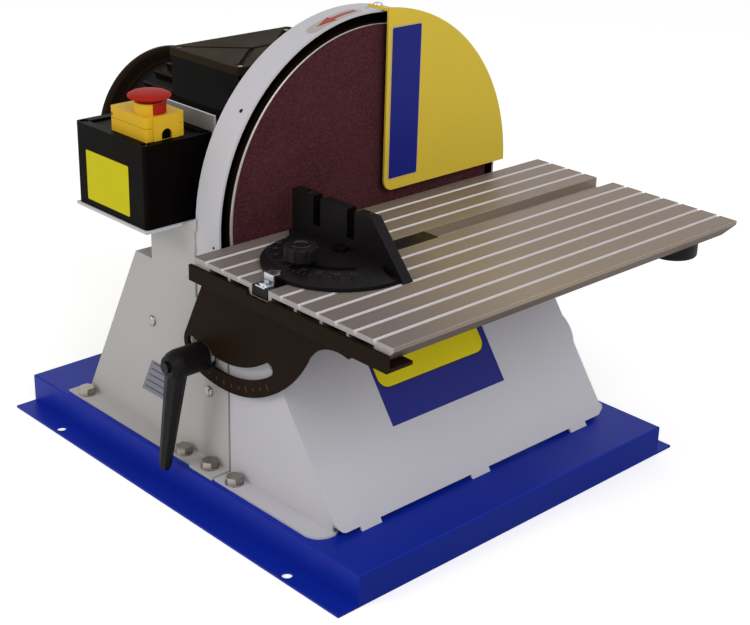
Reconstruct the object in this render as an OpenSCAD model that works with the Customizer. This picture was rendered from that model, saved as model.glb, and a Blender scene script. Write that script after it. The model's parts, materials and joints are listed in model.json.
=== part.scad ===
// Benchtop disc sander: a 305 mm disc on a face-mounted motor, with a tilting table and a mitre gauge.
// Frame: +X to the right, +Y to the rear, +Z up. The disc faces -Y.
// The origin is the middle of the four bench bolt holes, on the floor plane.

/* [Base tray] */
// Width of the tray over its side walls
base_w = 378; // [350:1:440]
// Depth of the tray from front to rear
base_d = 465; // [450:1:520]
// Height of the tray's top above the bench
base_h = 29; // [24:1:45]
// Sheet thickness of the tray
base_sheet = 2; // [1.5:0.5:3]
// Width of the bolting flange at each end
base_flange_w = 21; // [18:1:35]
// Diameter of the bench bolt holes
bench_hole_d = 9; // [6:0.5:11]
// Spacing of the bench bolt holes from front to rear
bench_hole_pitch = 328; // [250:1:400]

/* [Disc and guard] */
// Diameter of the abrasive disc
disc_d = 305; // [250:1:310]
// Thickness of the aluminium disc plate
disc_t = 7; // [5:0.5:12]
// Thickness of the abrasive with its backing
abrasive_t = 1; // [0.6:0.1:2]
// Height of the disc's axis above the bench
disc_axis_h = 239.5; // [225:0.5:280]
// Distance from the abrasive's face back to the middle of the base
disc_set = 32.5; // [20:0.5:50]
// Radial gap between the disc and the outside of the guard
guard_gap = 11; // [8:0.5:20]
// Depth of the guard's band from front to rear
guard_d = 31; // [26:0.5:45]
// Sheet thickness of the guard, the hood and the stand
sheet = 2; // [1.5:0.5:3]
// Thickness of the back plate that carries the motor
back_plate_t = 4; // [3:0.5:8]
// Thickness of the disc cover plate
cover_t = 2; // [1.5:0.5:3]
// Height of the disc cover's lower edge above the table
cover_clear = 12.5; // [9:0.5:25]

/* [Stand and hood] */
// Depth of the stand's side plates at the base
stand_d = 183; // [170:1:220]
// Height of the stand's shoulder above the tray
stand_shoulder_h = 166; // [140:1:180]
// Depth of the stand's side plates at the shoulder
stand_shoulder_d = 97; // [85:1:110]
// Depth of the arm under the switch
stand_arm_d = 73; // [50:1:80]
// Height of the arm above the tray
stand_arm_h = 208.5; // [182:0.5:215]
// Width of the feet
foot_w = 18; // [16:1:24]
// Width of each trunnion post
post_w = 31; // [26:1:36]
// Thickness of each trunnion post
post_t = 3; // [2:0.5:5]
// Height of each trunnion post above the tray
post_h = 136; // [125:1:150]
// Depth of the dust hood at the tray
hood_d = 142; // [110:1:145]
// Height of the hood's sloped front above the tray
hood_h = 109; // [90:1:112]
// Run of the hood's sloped front from bottom to top
hood_run = 78; // [60:1:80]
// Outer diameter of the dust outlet
outlet_d = 63; // [50:1:66]
// Length of the dust outlet outside the hood
outlet_l = 28.5; // [15:0.5:40]

/* [Table] */
// Length of the table along the disc's face
table_l = 415; // [400:1:460]
// Depth of the table from front to rear
table_d = 229; // [200:1:260]
// Thickness of the table
table_t = 17; // [15:0.5:20]
// Reach of the table to the left of the disc's axis
table_left = 192; // [190:1:215]
// Drop of the table's top below the disc's axis
table_drop = 7.7; // [0:0.1:20]
// Gap between the table's rear edge and the abrasive
table_gap = 3; // [2:0.5:6]
// Width of the mitre slot
slot_w = 19; // [16:0.5:22]
// Depth of the mitre slot
slot_depth = 9; // [7:0.5:10]
// Distance of the mitre slot's middle from the table's rear edge
slot_set = 83; // [70:1:95]
// Pitch of the table's slats
slat_pitch = 20.4; // [15:0.1:26]
// Width of the grooves between slats
groove_w = 3; // [2:0.5:5]
// Depth of the grooves between slats
groove_depth = 2.5; // [1.5:0.5:3]

/* [Trunnions] */
// Thickness of the trunnion sheet
trunnion_t = 3; // [2:0.5:4]
// Radius of the arc slot about the tilt axis
arc_r = 100; // [90:1:104]
// Width of the arc slot
arc_w = 11; // [10.5:0.5:13]
// Greatest tilt, front edge down
tilt_down = 45; // [15:1:45]
// Greatest tilt, front edge up
tilt_up = 5; // [0:1:8]
// Length of the lock lever's arm
lever_l = 109; // [70:1:120]
// Diameter of the lock stud
stud_d = 8; // [6:0.5:8.5]

/* [Mitre gauge] */
// Length of the mitre bar
bar_l = 185; // [160:1:260]
// Radius of the protractor
head_r = 63; // [55:1:65]
// Height of the fence above the table
fence_h = 43.5; // [35:0.5:60]
// Length of the fence behind the pivot
fence_rear = 65; // [45:1:66]
// Length of the fence in front of the pivot
fence_front = 67; // [50:1:80]
// Greatest swivel to each side
swivel = 60; // [30:1:60]

/* [Switch and motor] */
// Width of the switch box
sbox_w = 69; // [66:1:80]
// Length of the switch box from front to rear
sbox_l = 99; // [90:1:120]
// Height of the switch box with its lid
sbox_h = 71; // [60:1:90]
// Diameter of the stop button
stop_d = 36; // [30:1:42]
// Radius of the motor's body over its fins
motor_r = 71; // [60:1:72]
// Length of the motor's finned body
motor_l = 222; // [180:1:235]
// Diameter of the motor shaft at the disc
shaft_d = 19; // [14:0.5:19]

/* [Hidden] */
$fn = 64;

// Overrun of every cut past the face that it opens
over = 1;
// Clearance between faces that slide, and radial clearance of a running shaft
slide_gap = 0.3;
run_gap = 0.05;

// Places of the main planes
axis_z = disc_axis_h;
face_y = -disc_set;
disc_r = disc_d / 2;
disc_back_y = face_y + abrasive_t + disc_t;
guard_r = disc_r + guard_gap;
guard_set = 1.3;
guard_y0 = face_y + guard_set;
guard_y1 = guard_y0 + guard_d;
plate_y0 = guard_y1 - back_plate_t;
side_x = guard_r + sheet;
base_top = base_h;
bench_hole_inset = 7;
bench_x = base_w / 2 + base_flange_w - bench_hole_inset;

// Posts stand in front of the stand's side plates, in the plane just outside the guard's legs
post_lap = 12.3;
post_y0 = guard_y0 - post_lap;
post_y1 = post_y0 + post_w;
post_x1 = guard_r + post_t;
seam_gap = 1.5;
stand_y0 = post_y1 + seam_gap / 3;
stand_y1 = stand_y0 + stand_d;
hood_y1 = post_y0 - seam_gap;
hood_y0 = hood_y1 - hood_d;
shoulder_z = base_top + stand_shoulder_h;
shoulder_y = stand_y0 + stand_shoulder_d;
arm_y = stand_y0 + stand_arm_d;
arm_z = base_top + stand_arm_h;
arm_step_z = base_top + stand_shoulder_h * 0.9;

// Bolts on the feet
foot_bolt_d = 8;
foot_bolt_clear = 0.5;
foot_bolt_af = 13;
foot_bolt_head = 5.3;
foot_bolt_x = side_x + foot_w * 0.52;
stand_bolt_front = 21;
stand_bolt_rear = 10;
hood_bolt_rear = 17;
foot_rear_run = 8;
foot_bolt_ys = [stand_y0 + stand_bolt_front, stand_y1 - stand_bolt_rear,
                (post_y0 + post_y1) / 2, hood_y1 - hood_bolt_rear];
foot_tops = [sheet, sheet, post_t, sheet];

// Table planes and the tilt axis
table_top = axis_z - table_drop;
table_bottom = table_top - table_t;
table_rear = face_y - table_gap;
table_front = table_rear - table_d;
table_x0 = -table_left;
table_x1 = table_x0 + table_l;
table_land = 3.5;
slot_y = table_rear - slot_set;
pivot_set = 9;
pivot_y = table_rear - pivot_set;
pivot_z = table_top;

// Arc slot, guide block and lock stud
stud_angle = 14;
block_half_angle = asin(arc_w * 0.7 / arc_r);
arc_spare_angle = 1;
arc_front_angle = stud_angle - tilt_down - block_half_angle - arc_spare_angle;
arc_rear_angle = stud_angle + tilt_up + block_half_angle + arc_spare_angle;
stud_y = pivot_y + arc_r * sin(stud_angle);
stud_z = pivot_z - arc_r * cos(stud_angle);
trunnion_gap = 3;
trunnion_x0 = post_x1 + trunnion_gap;
trunnion_x1 = trunnion_x0 + trunnion_t;
lip_gap = 0.4;
lip_x1 = table_left + lip_gap + trunnion_t;
lip_h = 7.5;
washer_t = 2;
washer_d = 24;
hub_x0 = trunnion_x1 + washer_t + slide_gap;
hub_d = 25;
hub_l = 36;
hub_x1 = hub_x0 + hub_l;

// Bolts in the trunnion flange
flange_screw_d = 5;
flange_screw_x = (trunnion_x1 + lip_x1) / 2;
flange_screw_shares = [0.12, 0.36, 0.62];
knob_d = 44;
knob_h = 14;
knob_set = 41;
knob_y = table_front + knob_set;
knob_stud_d = 6;
knob_x = trunnion_x1 + knob_d * 0.4;

// Side screws
side_screw_d = 5;
side_screw_head_d = 10;
side_screw_head = 3.2;
post_screw_y = post_y1 - post_w * 0.2;
post_screw_z = base_top + post_h * 0.51;
stand_screw_y = stand_y0 + stand_d * 0.41;
stand_screw_z = base_top + stand_shoulder_h * 0.645;

// Small general solids

module block(x0, x1, y0, y1, z0, z1) {
  translate([x0, y0, z0]) cube([x1 - x0, y1 - y0, z1 - z0]);
}

module rod_x(d, x0, x1, y, z) {
  translate([x0, y, z]) rotate([0, 90, 0]) cylinder(d = d, h = x1 - x0);
}

module rod_y(d, y0, y1, x, z) {
  translate([x, y0, z]) rotate([-90, 0, 0]) cylinder(d = d, h = y1 - y0);
}

module rod_z(d, z0, z1, x, y) {
  translate([x, y, z0]) cylinder(d = d, h = z1 - z0);
}

// An outline drawn in Y and Z, made solid from x0 to x1
module across_x(x0, x1) {
  translate([x0, 0, 0]) rotate([90, 0, 90]) linear_extrude(x1 - x0) children();
}

// An outline drawn in X and Z, made solid from y0 to y1
module across_y(y0, y1) {
  translate([0, y1, 0]) rotate([90, 0, 0]) linear_extrude(y1 - y0) children();
}

// A profile drawn in radius and distance along +Y, turned about the disc's axis
module turned_y(y0) {
  translate([0, y0, axis_z]) rotate([-90, 0, 0]) rotate_extrude() children();
}

module rounded_outline(w, d, r) {
  square([w - 2 * r, d], center = true);
  square([w, d - 2 * r], center = true);
  for (sx = [-1, 1], sy = [-1, 1])
    translate([sx * (w / 2 - r), sy * (d / 2 - r)]) circle(r = r);
}

module both_sides() {
  children();
  mirror([1, 0, 0]) children();
}

module left_side() {
  mirror([1, 0, 0]) children();
}

// A hexagon bar standing on z, by its width across flats
module hex_z(af, z0, z1, x, y) {
  translate([x, y, z0]) cylinder(d = af / cos(30), h = z1 - z0, $fn = 6);
}

// A bar that follows the arc slot's circle between two angles
module arc_bar(w, a0, a1, x0, x1) {
  translate([x0, pivot_y, pivot_z]) rotate([0, 90, 0]) rotate([0, 0, a0])
    rotate_extrude(angle = a1 - a0) translate([arc_r - w / 2, 0]) square([w, x1 - x0]);
}

// The arc slot itself, with round ends
module arc_slot(w, a0, a1, x0, x1) {
  arc_bar(w, a0, a1, x0, x1);
  for (a = [a0, a1])
    rod_x(w, x0, x1, pivot_y + arc_r * sin(a), pivot_z - arc_r * cos(a));
}

// Holes for the foot bolts on both sides, through z0 to z1
module foot_bolt_holes(z0, z1) {
  both_sides() for (y = foot_bolt_ys)
    rod_z(foot_bolt_d + foot_bolt_clear, z0, z1, foot_bolt_x, y);
}

// Base tray: one folded sheet, open below, with a bolting flange at each end

module base_tray() {
  color("mediumblue") difference() {
    union() {
      block(-base_w / 2, base_w / 2, -base_d / 2, base_d / 2, 0, base_h);
      block(-base_w / 2 - base_flange_w, base_w / 2 + base_flange_w, -base_d / 2, base_d / 2, 0,
            base_sheet);
    }
    block(-base_w / 2 + base_sheet, base_w / 2 - base_sheet, -base_d / 2 + base_sheet,
          base_d / 2 - base_sheet, -over, base_h - base_sheet);
    for (sx = [-1, 1], sy = [-1, 1])
      rod_z(bench_hole_d, -over, base_sheet + over, sx * bench_x, sy * bench_hole_pitch / 2);
    foot_bolt_holes(base_h - base_sheet - over, base_h + over);
  }
}

// Motor stand: two side plates with feet, a shoulder flange and a sloped rear panel

rear_run = stand_y1 - shoulder_y;
rear_slant = sheet * sqrt(rear_run * rear_run + stand_shoulder_h * stand_shoulder_h) / stand_shoulder_h;
motor_cut_clear = 10;
shoulder_flange_w = 14;

module stand_side_outline() {
  polygon([[stand_y0, base_top], [stand_y1, base_top], [shoulder_y, shoulder_z], [arm_y, shoulder_z],
           [arm_y, arm_z], [guard_y1, arm_z], [guard_y1, arm_step_z], [stand_y0, arm_step_z]]);
}

module motor_stand() {
  color("gainsboro") difference() {
    union() {
      both_sides() {
        across_x(guard_r, side_x) stand_side_outline();
        block(guard_r, side_x + foot_w, stand_y0, stand_y1 + foot_rear_run, base_top, base_top + sheet);
        block(guard_r - shoulder_flange_w, side_x, arm_y, shoulder_y, shoulder_z - sheet, shoulder_z);
      }
      across_x(-side_x, side_x)
        polygon([[stand_y1, base_top], [shoulder_y, shoulder_z], [shoulder_y - rear_slant, shoulder_z],
                 [stand_y1 - rear_slant, base_top]]);
    }
    rod_y(2 * (motor_r + motor_cut_clear), arm_y, stand_y1 + over, 0, axis_z);
    foot_bolt_holes(base_top - over, base_top + post_t + over);
    both_sides()
      rod_x(side_screw_d + foot_bolt_clear, guard_r - over, side_x + over, stand_screw_y, stand_screw_z);
  }
}

// Disc guard: an arched band with straight legs, welded to the back plate

motor_bolt_circle_r = 55;
motor_bolt_d = 8;
shaft_pass_d = 44;
stud_clear = 0.5;

module guard_outline(r, z0) {
  translate([0, axis_z]) circle(r = r, $fn = 128);
  translate([-r, z0]) square([2 * r, axis_z - z0]);
}

// Places children at the four motor bolts, in the XZ plane of the back plate
module at_motor_bolts() {
  for (a = [45:90:315])
    translate([motor_bolt_circle_r * cos(a), 0, axis_z + motor_bolt_circle_r * sin(a)]) children();
}

module disc_guard() {
  color("whitesmoke") difference() {
    across_y(guard_y0, guard_y1) guard_outline(guard_r, base_top);
    across_y(guard_y0 - over, plate_y0) guard_outline(guard_r - sheet, base_top - over);
    rod_y(shaft_pass_d, plate_y0 - over, guard_y1 + over, 0, axis_z);
    at_motor_bolts() rotate([-90, 0, 0]) translate([0, 0, plate_y0 - over])
      cylinder(d = motor_bolt_d + foot_bolt_clear, h = back_plate_t + 2 * over);
    both_sides() {
      rod_x(stud_d + stud_clear, guard_r - sheet - over, guard_r + over, stud_y, stud_z);
      rod_x(side_screw_d + foot_bolt_clear, guard_r - sheet - over, guard_r + over, post_screw_y,
            post_screw_z);
    }
    for (a = cover_tab_angles)
      translate([0, guard_y0 + cover_tab_hole_set, axis_z]) rotate([0, -a, 0])
        rotate([0, 90, 0]) cylinder(d = cover_screw_d + foot_bolt_clear, h = guard_r + over);
  }
}

// Trunnion posts: strips with a foot that carry the lock studs

module post() {
  color("gainsboro") difference() {
    union() {
      block(guard_r, post_x1, post_y0, post_y1, base_top, base_top + post_h);
      block(guard_r, side_x + foot_w + sheet, post_y0, post_y1, base_top, base_top + post_t);
    }
    foot_bolt_holes(base_top - over, base_top + post_t + over);
    rod_x(stud_d + stud_clear, guard_r - over, post_x1 + over, stud_y, stud_z);
    rod_x(side_screw_d + foot_bolt_clear, guard_r - over, post_x1 + over, post_screw_y, post_screw_z);
  }
}

module left_post() {
  left_side() post();
}

module right_post() {
  post();
}

// Dust hood: side plates, a sloped front with three tabs, and feet with a round front corner

hood_top_y = hood_y0 + hood_run;
hood_top_z = base_top + hood_h;
hood_slant = sheet * sqrt(hood_run * hood_run + hood_h * hood_h) / hood_h;
hood_cheek_z = base_top + hood_h * 1.52;
hood_cheek_y = hood_top_y + (hood_cheek_z - hood_top_z);
hood_tab_h = 3.5;
hood_corner_r = 8;
hood_tab_w = 22;
hood_tab_shares = [-0.81, -0.02, 0.78];
hood_foot_r = 16;
outlet_wall = 2;
outlet_set = 45;
outlet_y = hood_y1 - outlet_set;
outlet_clear = 9;
outlet_z = base_top + outlet_clear + outlet_d / 2;
outlet_lip = 3;
outlet_inner_l = 6;

module hood_side_outline() {
  polygon([[hood_y1, base_top], [hood_y0, base_top], [hood_top_y, hood_top_z],
           [hood_cheek_y, hood_cheek_z], [hood_y1, hood_cheek_z]]);
}

// Section of the front: a slope from the tray, then a steeper run up to the table
module hood_front_outline() {
  upper_slant = sheet * sqrt(2);
  polygon([[hood_y0, base_top], [hood_top_y, hood_top_z], [hood_cheek_y, hood_cheek_z],
           [hood_cheek_y + upper_slant, hood_cheek_z],
           [hood_top_y + (hood_slant + upper_slant) / 2, hood_top_z], [hood_y0 + hood_slant, base_top]]);
}

// What the round lower corner of the front leaves out, seen from the front
module hood_corner_outline() {
  r = hood_corner_r;
  corner_z = base_top + hood_tab_h + r;
  difference() {
    translate([side_x - r, base_top - over]) square([r + over, corner_z - base_top + over]);
    translate([side_x - r, corner_z]) circle(r = r);
  }
}

// Foot in plan, from the side plate outwards, with its front corner rounded
module hood_foot_outline() {
  foot_front = hood_y0 + hood_foot_r * 0.6;
  translate([guard_r, foot_front + hood_foot_r])
    square([sheet + foot_w, hood_y1 - foot_front - hood_foot_r]);
  translate([guard_r, foot_front]) square([sheet + foot_w - hood_foot_r, hood_foot_r + over]);
  translate([side_x + foot_w - hood_foot_r, foot_front + hood_foot_r]) circle(r = hood_foot_r);
}

module dust_hood() {
  tab_sides = [for (s = hood_tab_shares, e = [-1, 1]) s * guard_r + e * hood_tab_w / 2];
  tab_edges = concat([-side_x - over], tab_sides, [side_x + over]);
  color("whitesmoke") difference() {
    union() {
      both_sides() translate([0, 0, base_top]) linear_extrude(sheet) hood_foot_outline();
      difference() {
        union() {
          both_sides() across_x(guard_r, side_x) hood_side_outline();
          across_x(-side_x, side_x) hood_front_outline();
        }
        for (i = [0:2:len(tab_edges) - 1])
          block(tab_edges[i], tab_edges[i + 1], hood_y0 - over, hood_y0 + hood_tab_h + sheet,
                base_top - over, base_top + hood_tab_h);
        both_sides() across_y(hood_y0 - over, hood_y0 + hood_corner_r * 1.5) hood_corner_outline();
      }
    }
    foot_bolt_holes(base_top - over, base_top + post_t + over);
    rod_x(outlet_d + slide_gap, guard_r - over, side_x + over, outlet_y, outlet_z);
  }
}

// Dust outlet: a spun collar that seats on the inside of the hood's right cheek

module dust_outlet() {
  r = outlet_d / 2;
  color("whitesmoke") translate([guard_r - outlet_inner_l, outlet_y, outlet_z]) rotate([0, 90, 0])
    rotate_extrude($fn = 96) polygon([
      [r - outlet_wall, 0], [r + outlet_lip, 0], [r + outlet_lip, outlet_inner_l], [r, outlet_inner_l],
      [r, outlet_inner_l + sheet + outlet_l], [r - outlet_wall, outlet_inner_l + sheet + outlet_l]]);
}

// Disc cover: a plate over the right half of the disc, held by tabs on the guard's band

cover_set = 8;
cover_y0 = face_y - cover_set;
cover_x0 = 11;
cover_tab_r = guard_r + cover_t;
cover_edge = 1;
cover_r = cover_tab_r + cover_edge;
cover_corner_r = 10;
cover_foot_r = 4;
cover_z0 = table_top + cover_clear;
cover_tab_angles = [88.5, 9];
cover_tab_half_angle = 5.5;
cover_tab_l = 26;
cover_tab_hole_set = 11;
cover_screw_d = 4;
cover_screw_head_d = 9;
cover_screw_head = 2.6;

module cover_outline() {
  difference() {
    intersection() {
      translate([0, axis_z]) circle(r = cover_r, $fn = 128);
      translate([cover_x0, cover_z0]) square([cover_r, 2 * cover_r]);
    }
    translate([cover_x0, cover_z0]) difference() {
      translate([-over, -over]) square(cover_corner_r + over);
      translate([cover_corner_r, cover_corner_r]) circle(r = cover_corner_r);
    }
  }
}

module disc_cover() {
  color("gold") difference() {
    union() {
      across_y(cover_y0, cover_y0 + cover_t) cover_outline();
      for (a = cover_tab_angles)
        translate([0, cover_y0, axis_z]) rotate([-90, 0, 0]) rotate([0, 0, -a - cover_tab_half_angle])
          rotate_extrude(angle = 2 * cover_tab_half_angle, $fn = 128)
            translate([guard_r, 0]) square([cover_t, cover_tab_l]);
    }
    for (a = cover_tab_angles)
      translate([0, guard_y0 + cover_tab_hole_set, axis_z]) rotate([0, -a, 0])
        rotate([0, 90, 0]) cylinder(d = cover_screw_d + foot_bolt_clear, h = cover_r + over);
  }
}

module cover_screws() {
  color("silver") for (a = cover_tab_angles)
    translate([0, guard_y0 + cover_tab_hole_set, axis_z]) rotate([0, -a, 0]) rotate([0, 90, 0])
      rotate_extrude($fn = 32) polygon([
        [0, guard_r - sheet - over], [cover_screw_d / 2, guard_r - sheet - over],
        [cover_screw_d / 2, cover_tab_r + run_gap], [cover_screw_head_d / 2, cover_tab_r + run_gap],
        [cover_screw_head_d * 0.44, cover_tab_r + cover_screw_head * 0.55],
        [cover_screw_head_d * 0.28, cover_tab_r + cover_screw_head * 0.9],
        [0, cover_tab_r + cover_screw_head]]);
}

// Bolts and nuts on the feet, screws on the sides

foot_nut_h = 6.5;

module foot_bolts() {
  color("silver") both_sides() for (i = [0:len(foot_bolt_ys) - 1]) {
    foot_z = base_top + foot_tops[i];
    rod_z(foot_bolt_d, base_top - base_sheet - foot_nut_h - over, foot_z + over, foot_bolt_x,
          foot_bolt_ys[i]);
    rod_z(foot_bolt_af * 1.25, foot_z, foot_z + base_sheet * 0.8, foot_bolt_x, foot_bolt_ys[i]);
    hex_z(foot_bolt_af, foot_z + base_sheet * 0.8 - run_gap, foot_z + base_sheet * 0.8 + foot_bolt_head,
          foot_bolt_x, foot_bolt_ys[i]);
  }
}

module foot_nuts() {
  color("silver") both_sides() for (y = foot_bolt_ys) difference() {
    hex_z(foot_bolt_af, base_top - base_sheet - foot_nut_h, base_top - base_sheet, foot_bolt_x, y);
    rod_z(foot_bolt_d + 2 * run_gap, base_top - base_sheet - foot_nut_h - over, base_top, foot_bolt_x, y);
  }
}

// A pan-head screw along +X with its nut on the inside of the wall
module side_screw(x_in, x_out, y, z) {
  nut_t = side_screw_head;
  translate([x_in - nut_t, y, z]) rotate([0, 90, 0]) {
    cylinder(d = side_screw_d, h = x_out - x_in + nut_t + over);
    cylinder(d = side_screw_head_d, h = nut_t, $fn = 6);
    translate([0, 0, x_out - x_in + nut_t]) rotate_extrude($fn = 32) polygon([
      [0, 0], [side_screw_head_d / 2, 0], [side_screw_head_d * 0.45, side_screw_head * 0.6],
      [side_screw_head_d * 0.25, side_screw_head], [0, side_screw_head]]);
  }
}

module side_screws() {
  color("silver") both_sides() {
    side_screw(guard_r - sheet, post_x1, post_screw_y, post_screw_z);
    side_screw(guard_r, side_x, stand_screw_y, stand_screw_z);
  }
}

// Switch bracket: a shelf under the box with a flange inside the arm and a wall behind the box

shelf_t = 2.5;
shelf_z = arm_z + shelf_t;
sbox_overhang = 34.5;
sbox_x0 = -side_x - sbox_overhang;
sbox_x1 = sbox_x0 + sbox_w;
sbox_arm_lap = 44.2;
sbox_y0 = arm_y - sbox_arm_lap;
sbox_y1 = sbox_y0 + sbox_l;
sbox_top = shelf_z + sbox_h;
sbox_lid_t = 9;
sbox_wall = 3;
sbox_corner_r = 3.5;
shelf_margin = 1.5;
bracket_flange_h = 40;
bracket_wall_rise = 14;
sbox_mid_x = (sbox_x0 + sbox_x1) / 2;
sbox_mid_y = (sbox_y0 + sbox_y1) / 2;

module switch_bracket() {
  color("whitesmoke") {
    block(sbox_x0 - shelf_margin, sbox_x1 + sheet, sbox_y0 - shelf_margin, sbox_y1 + shelf_margin, arm_z,
          shelf_z);
    block(-guard_r, -guard_r + sheet, sbox_y0, arm_y, arm_z - bracket_flange_h, shelf_z);
    block(sbox_x1, sbox_x1 + sheet, sbox_y0 - shelf_margin, sbox_y1 + shelf_margin, arm_z,
          sbox_top + bracket_wall_rise);
  }
}

// Switch box with its lid, screws and gland

lid_screw_d = 4;
lid_screw_inset = 5.5;
lid_recess_inset = 8;
gland_d = 20;
gland_l = 16;
gland_bore_d = 9;
gland_z = shelf_z + sbox_h * 0.4;

module at_lid_screws() {
  for (sx = [-1, 1], sy = [-1, 1])
    translate([sbox_mid_x + sx * (sbox_w / 2 - lid_screw_inset),
          sbox_mid_y + sy * (sbox_l / 2 - lid_screw_inset), 0])
      children();
}

module switch_box() {
  body_h = sbox_h - sbox_lid_t;
  color("dimgray") difference() {
    translate([sbox_mid_x, sbox_mid_y, shelf_z]) difference() {
      linear_extrude(body_h) rounded_outline(sbox_w, sbox_l, sbox_corner_r);
      translate([0, 0, sbox_wall]) linear_extrude(body_h) difference() {
        square([sbox_w - 2 * sbox_wall, sbox_l - 2 * sbox_wall], center = true);
        for (sx = [-1, 1], sy = [-1, 1])
          translate([sx * sbox_w / 2, sy * sbox_l / 2]) circle(r = 2 * lid_screw_inset);
      }
    }
    at_lid_screws() translate([0, 0, sbox_top - sbox_lid_t - 2 * sbox_lid_t])
      cylinder(d = lid_screw_d + 2 * run_gap, h = 3 * sbox_lid_t);
    rod_y(gland_d * 0.8, sbox_y1 - sbox_wall - over, sbox_y1 + over, sbox_mid_x, gland_z);
  }
}

module switch_box_lid() {
  recess = sbox_lid_t * 0.2;
  color("dimgray") difference() {
    translate([sbox_mid_x, sbox_mid_y, sbox_top - sbox_lid_t]) difference() {
      linear_extrude(sbox_lid_t) rounded_outline(sbox_w, sbox_l, sbox_corner_r);
      translate([0, 0, sbox_lid_t - recess]) linear_extrude(sbox_lid_t)
        square([sbox_w - 2 * lid_recess_inset, sbox_l - 2 * lid_recess_inset], center = true);
      translate([0, 0, -over]) linear_extrude(sbox_lid_t - recess - sbox_wall + over)
        square([sbox_w - 2.4 * lid_recess_inset, sbox_l - 2.4 * lid_recess_inset], center = true);
    }
    at_lid_screws() translate([0, 0, sbox_top - sbox_lid_t - over]) {
      cylinder(d = lid_screw_d + 2 * run_gap, h = 2 * sbox_lid_t);
      translate([0, 0, sbox_lid_t / 2 + over]) cylinder(d = 2 * lid_screw_d, h = sbox_lid_t);
    }
    key_wells(sbox_top - sbox_lid_t - over, sbox_top + over);
  }
}

module lid_screws() {
  color("silver") at_lid_screws() translate([0, 0, sbox_top - 2 * sbox_lid_t]) {
    cylinder(d = lid_screw_d, h = 1.5 * sbox_lid_t + over);
    translate([0, 0, 1.5 * sbox_lid_t]) cylinder(d = 1.8 * lid_screw_d, h = lid_screw_d * 0.7);
  }
}

module cable_gland() {
  nut_l = gland_l * 0.45;
  color("dimgray") difference() {
    union() {
      rod_y(gland_d * 0.78, sbox_y1 - 2 * sbox_wall, sbox_y1 + over, sbox_mid_x, gland_z);
      translate([sbox_mid_x, sbox_y1, gland_z]) rotate([-90, 0, 0])
        cylinder(d = gland_d, h = nut_l, $fn = 6);
      rod_y(gland_d * 0.8, sbox_y1 + nut_l - over, sbox_y1 + gland_l, sbox_mid_x, gland_z);
    }
    rod_y(gland_bore_d, sbox_y1 - 3 * sbox_wall, sbox_y1 + gland_l + over, sbox_mid_x, gland_z);
  }
}

// Stop switch: a yellow base, a hinged flap that carries the red mushroom, and two keys below the flap

sw_w = 38.5;
sw_l = 51;
sw_base_h = 10.5;
sw_flap_h = 9.6;
sw_wall = 2.5;
sw_corner_r = 3;
sw_recess_gap = 0.6;
sw_x = sbox_x0 + lid_recess_inset + sw_recess_gap + sw_w / 2;
sw_y = sbox_y0 + lid_recess_inset + sw_recess_gap + sw_l / 2;
sw_seat = sbox_top - sbox_lid_t * 0.2;
sw_split = sbox_top + sw_base_h;
sw_top = sw_split + sw_flap_h;
key_w = 14;
key_l = 17;
key_pitch = 21;
key_set = 2.5;
key_rise = 4;
key_places = [[sw_x, sw_y - key_set - key_pitch / 2], [sw_x, sw_y - key_set + key_pitch / 2]];
pin_d = 3;
pin_y = sw_y + sw_l / 2 - pin_d;
pin_z = sw_split + 1.1 * pin_d;
lug_x = sw_w / 4;
stop_x = sw_x - sw_w * 0.12;
stop_y = sw_y - sw_l * 0.21;
stop_neck_d = 21;
stop_collar_h = 9;
stop_travel = 3;
stop_cap_h = 5;
flap_gap = 0.4;
stop_foot_z = sw_split + key_rise + stop_travel + flap_gap;
stop_cap_z = sw_top + stop_collar_h + stop_travel + flap_gap;

// Wells for the two keys, between two levels
module key_wells(z0, z1) {
  for (k = key_places)
    block(k[0] - key_w / 2 - slide_gap, k[0] + key_w / 2 + slide_gap, k[1] - key_l / 2 - slide_gap,
          k[1] + key_l / 2 + slide_gap, z0, z1);
}

module switch_base() {
  color("gold") {
    difference() {
      translate([sw_x, sw_y, sw_seat]) linear_extrude(sw_split - sw_seat)
        rounded_outline(sw_w, sw_l, sw_corner_r);
      key_wells(sw_seat - over, sw_split + over);
    }
    for (s = [-1, 1]) difference() {
      union() {
        block(sw_x + s * lug_x - sw_wall, sw_x + s * lug_x + sw_wall, pin_y - 0.9 * pin_d,
              pin_y + 0.9 * pin_d, sw_split - run_gap, pin_z);
        rod_x(1.8 * pin_d, sw_x + s * lug_x - sw_wall, sw_x + s * lug_x + sw_wall, pin_y, pin_z);
      }
      rod_x(pin_d + 2 * run_gap, sw_x - sw_w, sw_x + sw_w, pin_y, pin_z);
    }
  }
}

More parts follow.
